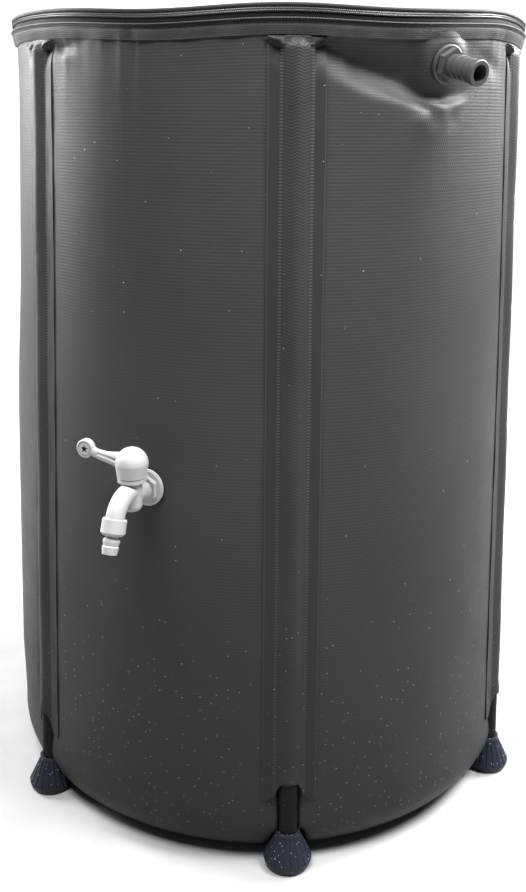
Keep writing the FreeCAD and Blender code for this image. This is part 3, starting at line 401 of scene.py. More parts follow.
@dataclass(frozen=True)
class CoatedCloth:
    """Cloth coated with a satin plastic, with its pressed pattern as relief and faint shade, painted
    highlights where set on edges and drops, and painted shade towards the floor.

    Attributes:
        name: The material's name.
        weave: The pressed pattern.
        color: The cloth's colour.
        roughness: How dull it is.
        shine: Strength of its reflections, half of it being that of glass.
        relief: Depth of the pattern, in metres.
        contrast: How much darker the pattern's hollows are.
        drops_and_painted_light: Whether drops lie on it, with painted highlights on them, and on cloth
            painted shade towards the floor.
        floor_shade: How much of its colour the painted shade leaves at the floor.
    """

    name: str
    weave: Weave
    color: Color
    roughness: float = 0.5
    shine: float = 0.16
    relief: float = 0.0001
    contrast: float = 0.32
    drops_and_painted_light: bool = False
    floor_shade: float = 0.34

    def pattern(self, nodes: Nodes) -> Socket:
        """The pressed pattern's height, from 0 to 1."""
        across, along = nodes.cloth_place()
        if self.weave is Weave.DASHES:
            rows = nodes.between(nodes.wave(along, 3.35), -0.4, 0.6)
            slanted = nodes.sum("ADD", across, nodes.times(along, 0.43))
            dashes = nodes.between(nodes.wave(slanted, 2.8), -0.7, 0.5, 0.1, 1.0)
            return nodes.sum("SUBTRACT", 1.0, nodes.times(rows, dashes))
        if self.weave is Weave.SLEEVE:
            side = nodes.sum("ABSOLUTE", across)
            lines = nodes.zigzag(across, along, 6.0, 0.45, 3.1)
            inside = nodes.between(side, 12.2, 13.0, 1.0, 0.0)
            field = nodes.times(nodes.between(lines, -0.8, 0.8), inside)
            return nodes.sum("MAXIMUM", field, self.stitches(nodes))
        if self.weave is Weave.RIM:
            lines = nodes.zigzag(across, along, 1.5, 0.8, 2.0)
            edge = nodes.between(nodes.sum("ABSOLUTE", nodes.sum("SUBTRACT", along, 9.4)), 0.2, 0.8, 1.0, 0.0)
            return nodes.sum("MAXIMUM", nodes.between(lines, -0.8, 0.8, 0.0, 0.8), edge)
        ribs = nodes.wave(along, 1.1)
        return nodes.between(nodes.times(ribs, nodes.wave(across, 2.2)), -0.6, 0.6)

    def stitches(self, nodes: Nodes) -> Socket:
        """Short level stitches in two bands along a sleeve's tube."""
        across, along = nodes.cloth_place()
        off = nodes.sum("ABSOLUTE", nodes.sum("SUBTRACT", nodes.sum("ABSOLUTE", across), 15.0))
        band = nodes.between(off, 1.3, 2.0, 1.0, 0.0)
        return nodes.times(band, nodes.between(nodes.wave(along, 3.1), -0.2, 0.3))

    def bands_and_painted_highlights(self, nodes: Nodes, shade: Socket) -> Socket:
        """Works the bands of a sleeve or a rim strip into its shade: painted highlights along the sleeve's
        outer edges, the strip's lower edge and its raised binding, paler stitches on a sleeve, and a darker
        band above the strip's step.
        """
        across, along = nodes.cloth_place()
        if self.weave is Weave.SLEEVE:
            # Painted highlight along each outer edge of the sleeve; the stitches are made paler too.
            edge = nodes.between(nodes.sum("ABSOLUTE", across), 26.6, 27.2, 0.0, 0.7)
            extra = nodes.sum("MAXIMUM", edge, nodes.times(self.stitches(nodes), 0.55))
            return nodes.times(shade, nodes.sum("ADD", extra, 1.0))
        if self.weave is Weave.RIM:
            # Painted highlight along the strip's lower edge, a darker band above its step, and a painted
            # highlight along the raised binding at its top.
            low = nodes.between(along, 0.6, 1.1, 1.6, 1.0)
            dark = nodes.between(along, 9.2, 9.8, 0.0, -0.82)
            binding_highlight = nodes.between(along, 14.0, 14.5, 0.0, 0.9)
            return nodes.times(shade, nodes.sum("ADD", low, nodes.sum("ADD", dark, binding_highlight)))
        return shade

    def make(self) -> Material:
        """Builds the material."""
        nodes = Nodes(self.name)
        pattern = self.pattern(nodes)
        cloud = nodes.between(nodes.noise(5.0), 0.3, 0.7, 0.9, 1.1)
        grain = nodes.noise(900.0, 2.0)
        shade = nodes.times(cloud, nodes.between(pattern, 0.0, 1.0, 1.0 - self.contrast, 1.0))
        shade = self.bands_and_painted_highlights(nodes, shade)
        drops = nodes.drops(170.0, 0.19, 0.01, 0.3) if self.drops_and_painted_light else None
        if self.drops_and_painted_light:
            # Painted shade: the cloth is darker towards the floor.
            shade = nodes.times(shade, nodes.between(nodes.height(), 0.0, 0.5, self.floor_shade, 1.0))
            # Painted highlights on the drops: they are made much paler than the cloth.
            shade = nodes.times(shade, nodes.between(drops, 0.0, 1.0, 1.0, 8.0))
        rough = nodes.between(nodes.noise(30.0), 0.2, 0.8, self.roughness - 0.05, self.roughness + 0.06)
        nodes.bump(grain, 0.00006)
        nodes.bump(pattern, self.relief)
        if self.drops_and_painted_light:
            nodes.bump(drops, 0.0008)
            rough = nodes.sum("SUBTRACT", rough, nodes.times(drops, self.roughness - 0.12))
        return nodes.settle(shade, rough, self.shine, self.color)


@dataclass(frozen=True)
class PitShade:
    """Painted shade inside a small recess.

    Attributes:
        centre: A point in its mouth.
        out: The direction that it opens in.
        mouth: How far along that direction its mouth lies.
        reach: How far from the centre its inside goes.
        left: How much of the shade is left inside.
    """

    centre: Place
    out: Place
    mouth: float
    reach: float
    left: float = 0.06

    def shade(self, nodes: Nodes) -> Socket:
        """The share of the shade: 1 outside the recess and less inside."""
        near = nodes.sum("LESS_THAN", nodes.measured("DISTANCE", self.centre), self.reach)
        deep = nodes.sum("LESS_THAN", nodes.measured("DOT_PRODUCT", self.out), self.mouth)
        return nodes.between(nodes.times(near, deep), 0.0, 1.0, 1.0, self.left)


@dataclass(frozen=True)
class Moulding:
    """Moulded plastic, rubber or lacquered metal with a fine grain and slightly uneven gloss.

    Attributes:
        name: The material's name.
        color: Its colour.
        roughness: How dull it is.
        shine: Strength of its reflections, half of it being that of glass.
        grain: Depth of the fine grain, in metres.
        metal: 1 for metal.
        drops_and_painted_light: Whether drops lie on it, with painted highlights on them.
        pit_shade: A recess whose inside gets painted shade.
    """

    name: str
    color: Color
    roughness: float = 0.4
    shine: float = 0.4
    grain: float = 0.00004
    metal: float = 0.0
    drops_and_painted_light: bool = False
    pit_shade: PitShade | None = None

    def make(self) -> Material:
        """Builds the material."""
        nodes = Nodes(self.name)
        share = nodes.between(nodes.noise(18.0, 4.0), 0.25, 0.75, 0.93, 1.05)
        # Painted shade inside the recess, where one is set.
        if self.pit_shade:
            share = nodes.times(share, self.pit_shade.shade(nodes))
        rough = nodes.between(nodes.noise(120.0, 4.0), 0.2, 0.8, self.roughness - 0.06, self.roughness + 0.08)
        nodes.bump(nodes.noise(1500.0, 2.0), self.grain)
        nodes.shader.inputs["Metallic"].default_value = self.metal
        if self.drops_and_painted_light:
            drops = nodes.drops(230.0, 0.2, 0.02, 0.3)
            # Painted highlights on the drops: they are made much paler than the moulding.
            share = nodes.times(share, nodes.between(drops, 0.0, 1.0, 1.0, 30.0))
            nodes.bump(drops, 0.0008)
            rough = nodes.sum("SUBTRACT", rough, nodes.times(drops, self.roughness - 0.1))
        return nodes.settle(share, rough, self.shine, self.color)


def dress(piece: Piece, material: Material) -> None:
    """Gives a piece or a carried-over node one material."""
    if not piece.material_slots:
        piece.data.materials.append(material)
    for slot in piece.material_slots:
        slot.material = material


def join_bag(piece: Piece, material: Material, slot: str, *nodes: str) -> None:
    """Gives a piece of the bag its material and its body, and hides the nodes that it stands for."""
    dress(piece, material)
    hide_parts(*nodes)
    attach(piece, "bag")


# The barrel's form
# The pinches under the rim strip: angle, height and width of each
PINCHES = (
    (-44.0, 1.8, 0.8), (-39.0, -1.2, 1.3), (-33.5, 1.0, 1.0), (-28.5, 2.6, 0.7), (-26.8, -2.6, 0.8),
    (-24.5, 1.8, 0.9), (-17.0, -0.8, 1.8), (-7.5, 0.9, 1.2), (14.5, 1.6, 0.8), (52.0, 1.5, 1.0),
    (57.0, -1.8, 0.9), (78.0, 1.6, 1.2), (93.0, -1.9, 1.4), (108.0, 1.4, 0.9), (141.0, -1.6, 1.2),
    (160.0, 1.5, 1.0), (199.0, -1.4, 1.1), (214.0, 1.9, 0.8), (262.0, -1.8, 1.3), (284.0, 1.6, 0.9),
)
# The humps of the limp rim: angle, width in degrees and height of each
RIM_HUMPS = ((-21.0, 18.0, -7.0), (22.0, 15.0, -3.6), (55.0, 13.0, 3.8), (116.0, 14.0, 1.5),
             (234.0, 14.0, -4.0), (270.0, 18.0, -2.5))
# A tug's section: heights over its line, and how far the cloth stands out there
TUG_OVER = (-24.0, -13.0, -6.0, -3.2, 0.0, 3.0, 9.0)
TUG_OUT = (0.0, -1.6, -4.2, -4.4, 4.0, 3.0, 0.6)
# The overflow's hollow: knots of angle with the height of its deepest line, its depth, and its way back out
HOLLOW_LINE = ((4.0, 10.0, 18.0, 26.0, 33.0, 37.0, 43.0, 48.0, 56.0),
               (840.0, 838.0, 822.0, 808.0, 793.0, 788.0, 796.0, 815.0, 836.0))
HOLLOW_DEPTH = ((7.0, 12.0, 18.0, 25.0, 30.0, 36.5, 43.0, 50.0), (0.0, 9.0, 16.0, 19.0, 17.0, 13.0, 7.0, 0.0))
HOLLOW_RETURN = ((20.0, 30.0, 37.0, 45.0), (34.0, 26.0, 14.0, 18.0))


@dataclass(frozen=True)
class BarrelForm:
    """Where the cloth lies: a cone, its rounded foot, its flared rim, and the pulls and folds in it.

    Attributes:
        bottom_radius: Outside of the cloth, carried down to the floor.
        top_radius: Outside of the cloth at the rim strip's lower edge.
        rim_low: Height of that edge.
        wall_top: Height of the cloth's top edge.
        rim_radius: Outside of the cloth at its top edge.
        underside: Height of the bag's underside.
        corner: Rounding where the wall turns under.
        base_opening: Radius that the base disc closes.
        pole_angles: Where the poles stand.
        pole_sink: How deep a pole's axis lies behind the wall's outside.
        pole_room: Radius of the hollow that holds a pole.
        pole_top: Height of a pole's top end.
        base_top: Height of the base's upturned edge, inside the wall.
        tug_low: Height of the tugs' line beside a sleeve's tube.
    """

    bottom_radius: float = 303.0
    top_radius: float = 293.0
    rim_low: float = 846.0
    wall_top: float = 860.0
    rim_radius: float = 298.5
    underside: float = 2.0
    corner: float = 45.0
    base_opening: float = 243.0
    pole_angles: tuple[float, ...] = (-54.6, 5.4, 65.4, 125.4, 185.4, 245.4)
    pole_sink: float = 5.0
    pole_room: float = 10.9
    pole_top: float = 826.0
    base_top: float = 58.0
    tug_low: float = 836.5

    @property
    def slope(self) -> float:
        """How much the radius shrinks for each millimetre up."""
        return (self.bottom_radius - self.top_radius) / self.rim_low

    def radius(self, height: Array | float) -> Array:
        """Outside radius of the smooth form: a cone up to the rim, then a flare."""
        flare = (self.rim_radius - self.top_radius) / (self.wall_top - self.rim_low)
        cone = self.bottom_radius - self.slope * np.minimum(height, self.rim_low)
        return cone + flare * np.clip(height - self.rim_low, 0.0, self.wall_top - self.rim_low)

    def wave(self, angle: Array, height: Array | float) -> Array:
        """How far the limp rim rises or sags, by humps that fade out below the rim."""
        total = sum(size * hump(angle, place, width) for place, width, size in RIM_HUMPS)
        return total * rise(height, 770.0, self.rim_low)

    def across_pole(self, angle: Array, pole: float) -> Array:
        """Distance from a pole's line, round the barrel."""
        return np.radians(turned_by(angle, pole)) * self.top_radius

    def free_cloth(self, angle: Array) -> Array:
        """0 on a pole's line and 1 well away from all of them."""
        free = np.ones_like(angle)
        for pole in self.pole_angles:
            free = free * (1.0 - bell(self.across_pole(angle, pole), 0.0, 24.0))
        return free

    def seat_of(self, angle: Array, height: Array, where: "Seat") -> tuple[Array, Array]:
        """The flat that a fitting clamps in the cloth.

        Args:
            angle: Angles round the barrel.
            height: Heights.
            where: The fitting's seat.

        Returns:
            The offset of the flat, and how much of it holds.
        """
        side = np.radians(turned_by(angle, where.angle)) * self.radius(where.height)
        up = height - where.height
        flat = side**2 / (2.0 * self.top_radius) + up * math.tan(math.radians(where.droop))
        return flat, fall(np.hypot(side, up), where.radius, where.radius + where.fade)

    def overflow_folds(self, angle: Array, height: Array) -> Array:
        """The hollow that the drooping overflow pulls into the slack rim.

        Its deepest line follows knots of angle and height. Above the line the cloth rises evenly to the
        rim, and below it comes back out over a shorter way. A fold runs below the line near the fitting.
        """
        turn = turned_by(angle, 0.0)
        line, depth, below = (np.interp(turn, *knots) for knots in (HOLLOW_LINE, HOLLOW_DEPTH, HOLLOW_RETURN))
        hollow = rise(height, line - below, line) * fall(height, line, self.rim_low + 4.0)
        near = bell(turn, 35.0, 9.0)
        fold = 3.0 * near * bell(height, line - 9.0, 4.0) - 3.2 * near * bell(height, line - 16.0, 3.8)
        second = -2.4 * bell(turn, 51.0, 4.0) * bell(height, 824.0 - 1.6 * (turn - 50.0), 9.0)
        return fold + second - depth * hollow

    def puckers(self, angle: Array, height: Array) -> Array:
        """Narrow pinches under the rim strip, deepest at its edge and gone some way down."""
        total = np.zeros(np.broadcast(angle, height).shape)
        for place, size, width in PINCHES:
            down = 14.0 + 9.0 * abs(size)
            total = total + size * hump(angle, place, width) * np.exp(
                -np.maximum(self.rim_low - height, 0.0) / down)
        return total * fall(height, 850.0, 862.0)

    def tugs(self, angle: Array, height: Array) -> Array:
        """A fold from each top corner of a sleeve down to its tube, proud above its line and hollow below.

        The line climbs 8 mm over 13 mm from the tube's edge outwards.
        """
        total = np.zeros(np.broadcast(angle, height).shape)
        for pole in self.pole_angles:
            side = np.abs(self.across_pole(angle, pole))
            over = height - self.tug_low - 8.0 * np.clip((side - 15.0) / 13.0, 0.0, 1.3)
            held = rise(side, 10.0, 15.0) * fall(side, 26.0, 32.0)
            total = total + np.interp(over, TUG_OVER, TUG_OUT) * held
        total = total * fall(height, 841.5, self.rim_low)
        return total - 4.5 * hump(angle, -45.5, 3.6) * bell(height, 836.0, 7.0)

    def relief(self, angle: Array, height: Array) -> Array:
        """Everything that moves the cloth in or out from the smooth form."""
        broad = 0.8 * np.sin(np.radians(5.0 * angle) + height / 190.0)
        broad = broad + 0.5 * np.sin(np.radians(11.0 * angle) - height / 120.0 + 1.3)
        broad = broad * rise(height, 40.0, 160.0) * fall(height, 800.0, self.rim_low) * self.free_cloth(angle)
        broad = broad + 4.0 * hump(angle, -80.0, 13.0) * (
            rise(height, 50.0, 140.0) * fall(height, 420.0, 600.0))
        folds = self.overflow_folds(angle, height) + self.puckers(angle, height) + self.tugs(angle, height)
        folds = (broad + folds) * fall(height, 848.0, 861.0)
        for seat in (TAP_SEAT, OVERFLOW_SEAT):
            flat, hold = self.seat_of(angle, height, seat)
            folds = folds * (1.0 - hold) + flat * hold
        return folds

    def ring_angles(self, steps: int) -> Array:
        """Even angles once round the barrel, with the first again at the end."""
        return np.linspace(-180.0, 180.0, steps + 1) + self.pole_angles[1]


@dataclass(frozen=True)
class Seat:
    """The flat of one fitting: its angle, height, droop, radius, and the width over which it fades."""

    angle: float
    height: float
    droop: float
    radius: float
    fade: float


TAP_SEAT = Seat(-23.1, 399.5, 0.0, 21.5, 16.0)
OVERFLOW_SEAT = Seat(36.5, 821.5, 13.5, 20.4, 17.0)
FORM = BarrelForm()


# The cloth
@dataclass(frozen=True)
class ClothWall:
    """The barrel's wall, with a hollow behind each pole, and the base inside it.

    Attributes:
        front_step: Angle between columns at the front.
        back_step: Angle between columns at the back.
        row: Height between rows on the plain part.
    """

    front_step: float = 0.9
    back_step: float = 1.8
    row: float = 13.0

    def columns(self) -> Array:
        """Angles of the columns: finer at the front, and finest over the poles."""
        front = np.arange(-72.0, 76.0, self.front_step)
        back = np.arange(76.0, 288.0, self.back_step)
        angles = [np.concatenate([front, back])]
        room = math.degrees(FORM.pole_room / FORM.top_radius)
        turns = np.sin(np.radians(np.linspace(-90.0, 90.0, 9))) * room
        skirts = room + np.array([0.25, 0.6, 1.1, 1.7])
        for pole in FORM.pole_angles:
            angles.append(pole + np.concatenate([turns, skirts, -skirts]))
        merged = np.unique(np.round((np.concatenate(angles) + 72.0) % 360.0 - 72.0, 3))
        return np.append(merged, merged[0] + 360.0)

    def profile(self) -> tuple[Array, Array]:
        """Radius and height of the smooth form's rows, from the base's opening to the top edge."""
        corner, low = FORM.corner, FORM.underside
        foot = FORM.bottom_radius - FORM.slope * (low + corner)
        turn = np.radians(np.linspace(-90.0, 0.0, 17))
        under = np.linspace(FORM.base_opening, foot - corner, 4)[:-1]
        heights = np.concatenate([
            np.arange(low + corner, 780.0, self.row)[1:], np.arange(780.0, 822.0, 3.2),
            np.arange(822.0, FORM.wall_top, 1.6), [FORM.wall_top]])
        radius = np.concatenate([under, foot - corner + corner * np.cos(turn), FORM.radius(heights)])
        height = np.concatenate([np.full(3, low), low + corner + corner * np.sin(turn), heights])
        return radius, height

    def pole_hollow(self, angle: Array, radius: Array, height: Array) -> Array:
        """How far the cloth gives way to the poles and their feet.

        Across a pole the depth is that of a circle round the pole's axis, and beyond the circle it
        dies away over a few millimetres, or at once where the base's edge lies behind the cloth. Low
        down, the circle grows to clear the bell of the foot.
        """
        bell_radius = np.interp(height, (9.0, 38.0, 43.0), (26.0, 14.0, FORM.pole_room))
        depth = np.zeros(np.broadcast(angle, height).shape)
        for pole in FORM.pole_angles:
            axis = FORM.bottom_radius - FORM.slope * height - FORM.pole_sink
            side = np.abs(np.radians(turned_by(angle, pole))) * axis
            inner = axis - np.sqrt(np.maximum(bell_radius**2 - side**2, 0.0))
            sunk = np.maximum(radius - inner, 0.0)
            lip = np.maximum(radius - axis, 0.0) * np.exp(-np.maximum(side - bell_radius, 0.0) / 3.5)
            lip = lip * rise(height, FORM.base_top, FORM.base_top + 8.0)
            depth = np.maximum(depth, np.where(side < bell_radius, sunk, lip))
        return depth * fall(height, FORM.pole_top, FORM.pole_top + 16.0)

    def build(self, finish: Material) -> Piece:
        """Makes the wall and puts it in place of its plain solid."""
        angle = self.columns()[None, :]
        radius, height = (row[:, None] for row in self.profile())
        standing = rise(height, 47.0, 80.0)
        outer_radius = radius + FORM.relief(angle, height) * standing
        outer_radius = outer_radius - self.pole_hollow(angle, outer_radius, height)
        lifted = height + FORM.wave(angle, height)
        outer = on_circle(angle, outer_radius, lifted)
        inwards = rise(height, FORM.underside, FORM.underside + FORM.corner)
        inner = on_circle(angle, outer_radius - CLOTH * np.maximum(inwards, 0.2),
                          lifted + CLOTH * (1.0 - inwards))
        run = np.concatenate([[0.0], np.cumsum(np.hypot(np.diff(radius[:, 0]), np.diff(height[:, 0])))])
        uv = grid_of(np.radians(angle) * FORM.bottom_radius, run[:, None])
        piece = closed_cloth("cloth_wall", outer, inner, uv, ring=True)
        join_bag(piece, finish, "barrel_cloth", *(name for name in frame["nodes"] if name.startswith("wall")))
        return piece


@dataclass(frozen=True)
class PoleSleeve:
    """A strip of cloth welded over a pole: two flat welds, a taut tube and a gathered top end.

    Attributes:
        pole: Number of the pole.
        name: Name of the sleeve's node.
        half: Half the width of the tube.
        weld: Width of a flat weld.
        low: Height of the open lower end.
        high: Height of the gathered end.
        cover: Radius of the cloth's outside over the pole.
        gap: From the wall's outside to the sleeve's back.
        arch: How far the welds run down beside the mouth.
    """

    pole: int
    name: str
    half: float = 17.0
    weld: float = 11.0
    low: float = 94.0
    high: float = 845.0
    cover: float = 11.9
    gap: float = 0.12
    arch: float = 22.0

    def sides(self) -> Array:
        """Distances from the pole's line at which the section is worked out."""
        edge = self.half + self.weld
        right = np.array([0.0, 1.6, 3.2, 4.8, 6.6, 8.8, 11.0, 13.0, 14.6, 15.8, 16.7, 17.4, 18.4,
                          20.5, 23.0, 25.5, edge - 0.7, edge])
        return np.concatenate([-right[:0:-1], right])

    def tent(self, side: Array) -> Array:
        """Height of the tube over the pole's axis, between its welds.

        Near the middle it is a circle round the axis, and beyond the point where a line from the
        weld touches that circle it is the line.
        """
        radius = self.cover
        weld_out = FORM.pole_sink - self.half**2 / (2.0 * FORM.bottom_radius)
        reach = np.hypot(self.half, weld_out)
        touch = math.atan2(self.half, weld_out) - math.acos(min(radius / reach, 1.0))
        across, out = radius * math.sin(touch), radius * math.cos(touch)
        line = out + (np.abs(side) - across) * (weld_out - out) / (self.half - across)
        arc = np.sqrt(np.maximum(radius**2 - side**2, 0.0))
        return np.where(np.abs(side) < across, arc, line)

    def creases(self, side: Array, height: Array) -> Array:
        """Short level creases in the tube's flanks, and the slow unevenness of a hand-laid weld."""
        random = np.random.default_rng(40 + self.pole)
        inside = fall(np.abs(side), self.half - 3.0, self.half + 1.0)
        total = 0.35 * np.sin(height / 31.0 + side / 9.0 + self.pole) * inside
        for place, lean, size, middle in zip(random.uniform(self.low + 20, self.high - 40, 16),
                                             random.uniform(-0.5, 0.5, 16), random.uniform(0.25, 0.8, 16),
                                             random.uniform(-10.0, 10.0, 16)):
            total = total - size * bell(height, place + lean * side, 2.2) * bell(side, middle, 6.0) * inside
        edge = 0.25 * np.sin(height / 17.0 + 2.0 * self.pole) * rise(np.abs(side), self.half, self.half + 3.0)
        return total + edge

    def build(self, finish: Material) -> Piece:
        """Makes the sleeve and puts it in place of its plain solid."""
        angle = FORM.pole_angles[self.pole]
        side = self.sides()[None, :]
        height = np.concatenate([
            np.linspace(self.low, self.low + 24.0, 9), np.arange(self.low + 30.0, 800.0, 6.5),
            np.arange(801.0, 826.0, 2.4), np.arange(826.0, self.high, 1.2), [self.high]])[:, None]
        mouth = fall(height, self.low, self.low + 18.0)
        arch = self.arch * rise(np.abs(side), 7.0, self.half + 3.0) * fall(height, self.low, self.low + 80.0)
        height = height - arch
        inside = fall(np.abs(side), self.half - 3.0, self.half + 7.0)
        drawn_in = 1.0 - 0.4 * rise(height, 832.0, 844.0) * inside
        around = angle + np.degrees(side * drawn_in / FORM.radius(height))
        away = rise(np.abs(side), self.half - 1.0, self.half + 1.2)
        flat = FORM.radius(height) + FORM.relief(around, height) * rise(np.abs(side), 8.0, self.half)
        flat = flat + self.gap + CLOTH
        axis = FORM.radius(height) - FORM.pole_sink
        tube = axis + self.tent(side) + self.gap + 1.4 * mouth * bell(side, 0.0, 12.0)
        closing = rise(height, FORM.pole_top + 8.0, self.high - 0.5)
        hem = 1.0 * bell(height, 841.5 - 3.0 * fall(np.abs(side), 3.0, 9.0), 0.9)
        tube = tube * (1.0 - closing) + (flat + 0.6) * closing + hem * bell(side, 0.0, 10.0)
        tube = tube + self.creases(side, height)
        radius = np.maximum(tube, flat) * (1.0 - away) + (flat + self.creases(side, height)) * away
        lifted = height + FORM.wave(around, height)
        outer = on_circle(around, radius, lifted)
        inner = on_circle(around, radius - CLOTH, lifted)
        uv = grid_of(side, height)
        piece = closed_cloth(f"cloth_{self.name}", outer, inner, uv)
        join_bag(piece, finish, "sleeve_cloth", self.name)
        return piece


# The rim, the zip and the lid
@dataclass(frozen=True)
class Rim:
    """The strip round the top edge, the zip's two tapes with their teeth, and the lid's piping.

    Attributes:
        band: Thickness of the strip.
        strip_gap: From the cloth out to the strip.
        strip_step: Height of the step in the strip's face.
        strip_top: Height of the strip's top edge.
        tape_face: Outside of the zip's tapes.
        tape: Thickness of a tape.
        teeth: How many teeth a row has.
        tooth_out: How far a tooth stands out.
        tooth_high: Height of a tooth.
        teeth_from: Angle at which each row starts, counted from the back.
        edge: Height of the middle of the lid's bound edge.
        edge_out: Half the width of that edge.
        edge_high: Half its height.
    """

    band: float = 1.2
    strip_gap: float = 0.15
    strip_step: float = 855.2
    strip_top: float = 861.2
    tape_face: float = 297.4
    tape: float = 0.8
    teeth: int = 900
    tooth_out: float = 1.7
    tooth_high: float = 2.1
    teeth_from: float = 12.0
    edge: float = 872.75
    edge_out: float = 1.25
    edge_high: float = 1.9

    def tape_ring(self, name: str, node_name: str, outer: Array, inner: Array,
                  material: Material) -> Piece:
        """A tape carried once round the barrel.

        Args:
            name: The piece's name.
            node_name: The node that it stands for.
            outer: Radius and height of its outside, from the free edge on.
            inner: Radius and height of its inside.
            material: The tape's material.

        Returns:
            The new object.
        """
        angle = FORM.ring_angles(300)[None, :]
        wide = np.concatenate([[0.0], np.cumsum(np.hypot(*np.diff(outer, axis=0).T))])[:, None]
        uv = grid_of(np.radians(angle) * self.tape_face, wide)
        sides = [on_circle(angle, line[:, :1], line[:, 1:] + FORM.wave(angle, line[:, 1:]))
                 for line in (outer, inner)]
        piece = closed_cloth(name, *sides, uv, ring=True)
        join_bag(piece, material, "zip_tape", node_name)
        return piece

    def strip(self, material: Material) -> None:
        """The flared strip outside the cloth's top edge, with a raised binding along its top."""
        angle = FORM.ring_angles(420)[None, :]
        low, step = FORM.rim_low, self.strip_step
        height = np.array([low, low + 0.5, 849.0, 852.0, step, step + 0.6, 858.0, 859.4, FORM.wall_top, 860.7,
                           self.strip_top])[:, None]
        proud = 0.35 * fall(height, step, step + 0.6) + 0.5 * bell(height, 860.5, 0.7)
        proud = proud + 0.5 * np.sin(np.radians(41.0 * angle)) * bell(height, low, 5.0)
        lifted = height + FORM.wave(angle, height)
        pinched = FORM.puckers(angle, np.minimum(height, low + 1.0)) * fall(height, low, low + 15.0)
        base = FORM.radius(height) + pinched
        inner = on_circle(angle, base + self.strip_gap, lifted)
        outer = on_circle(angle, base + self.strip_gap + self.band + proud, lifted)
        uv = grid_of(np.radians(angle) * FORM.rim_radius, height - low)
        piece = closed_cloth("rim_strip", outer, inner, uv, ring=True)
        join_bag(piece, material, "rim_webbing", "rim_band")

    def tooth_row(self, name: str, node_name: str, low: float, offset: float, material: Material) -> None:
        """One row of teeth: each is a small wedge, wider at its head, set round the rim.

        Args:
            name: The piece's name.
            node_name: The node that it stands for.
            low: Height of the row's lower edge.
            offset: Where the first tooth stands, as a share of the pitch.
            material: The teeth's material.
        """
        span = 360.0 - 2.0 * self.teeth_from
        pitch = span / self.teeth
        middle = -180.0 + self.teeth_from + (np.arange(self.teeth) + offset) * pitch
        half = pitch * 0.34
        out = np.array([0.0, 0.55, 1.0, 0.55]) * self.tooth_out
        up = np.array([0.5, 0.0, 0.5, 1.0]) * self.tooth_high
        ends = np.array([-1.0, 1.0])
        angle = middle[:, None, None] + ends[None, :, None] * half + 0.0 * out
        height = low + up + 0.0 * angle
        points = on_circle(angle, self.tape_face + out, height + FORM.wave(angle, low))
        side = [[k, (k + 1) % 4, 4 + (k + 1) % 4, 4 + k] for k in range(4)]
        faces = np.array([*side, [3, 2, 1, 0], [4, 5, 6, 7]])
        every = (faces[None] + 8 * np.arange(self.teeth)[:, None, None]).reshape(-1, 4)
        points = points.reshape(-1, 3)
        piece = new_piece(name, points, every[:, ::facing(points, every)])
        piece.data.shade_flat()
        join_bag(piece, material, "zip_coil", node_name)

    def piping(self, material: Material) -> None:
        """The bound edge of the lid: an ellipse carried round the rim."""
        angle = FORM.ring_angles(360)[:-1]
        turn = np.radians(np.arange(0.0, 360.0, 36.0))
        section = np.stack([self.edge_out * np.cos(turn), self.edge_high * np.sin(turn)], axis=-1)
        height = self.edge + FORM.wave(angle, self.edge)
        centre = np.stack([angle, np.full_like(angle, self.tape_face + 0.7), height], axis=-1)
        piece = ring_bar("lid_edge", centre, section)
        join_bag(piece, material, "piping", "lid_piping")

    def build(self, finishes: dict[str, Material]) -> None:
        """Makes every piece of the rim."""
        self.strip(finishes["rim"])
        face, back, hem = self.tape_face, self.tape_face - self.tape, self.tape_face - 8.0
        lower = np.array([[face, 867.7], [face, 862.0], [face, 856.0]])
        self.tape_ring("tape_lower", "zip_tape_lower", lower, lower - (self.tape, 0.0), finishes["tape"])
        self.tape_ring("tape_upper", "zip_tape_upper",
                       np.array([[face, 868.9], [face, 871.0], [face, 872.9], [hem, 872.9]]),
                       np.array([[back, 868.9], [back, 870.6], [back, 872.1], [hem, 872.1]]),
                       finishes["tape"])
        self.tooth_row("teeth_lower", "zip_coil_lower", 866.3, 0.25, finishes["teeth"])
        self.tooth_row("teeth_upper", "zip_coil_upper", 868.2, 0.75, finishes["teeth"])
        self.piping(finishes["piping"])


@dataclass(frozen=True)
class Lid:
    """The zipped lid of the same cloth, slack between its stiff inlet and the rim.

    Attributes:
        inner: Radius of the inlet.
        flat: Radius up to which the inlet's ring holds the cloth flat.
        outer: Radius of the lid's edge.
        height: Height of the cloth's underside.
        hem: Width of the flat edge that is sewn to the zip's tape.
    """

    inner: float = 105.0
    flat: float = 122.0
    outer: float = 297.4
    height: float = 873.0
    hem: float = 9.0

    def build(self, finish: Material) -> Piece:
        """Makes the lid: a flat ring that hangs a little between its edges, with soft spokes near the rim."""
        angle = FORM.ring_angles(240)[None, :]
        rings = [np.linspace(self.inner, self.flat + 6.0, 4), np.linspace(self.flat + 14.0, self.outer, 22)]
        radius = np.concatenate(rings)[:, None]
        share = (radius - self.flat) / (self.outer - self.hem - self.flat)
        slack = np.sin(math.pi * np.clip(share, 0.0, 1.0))
        spokes = 0.7 * np.sin(np.radians(17.0 * angle)) + 0.5 * np.sin(np.radians(29.0 * angle) + 1.0)
        edge = rise(radius, 200.0, self.outer)
        sag = -5.0 * slack + spokes * slack * (0.3 + edge)
        height = self.height + CLOTH + sag + FORM.wave(angle, self.height) * edge
        uv = on_circle(angle, radius, height)[..., :2]
        piece = closed_cloth("lid_cloth", on_circle(angle, radius, height),
                             on_circle(angle, radius, height - CLOTH), uv, ring=True)
        join_bag(piece, finish, "barrel_cloth", "lid_panel")
        return piece


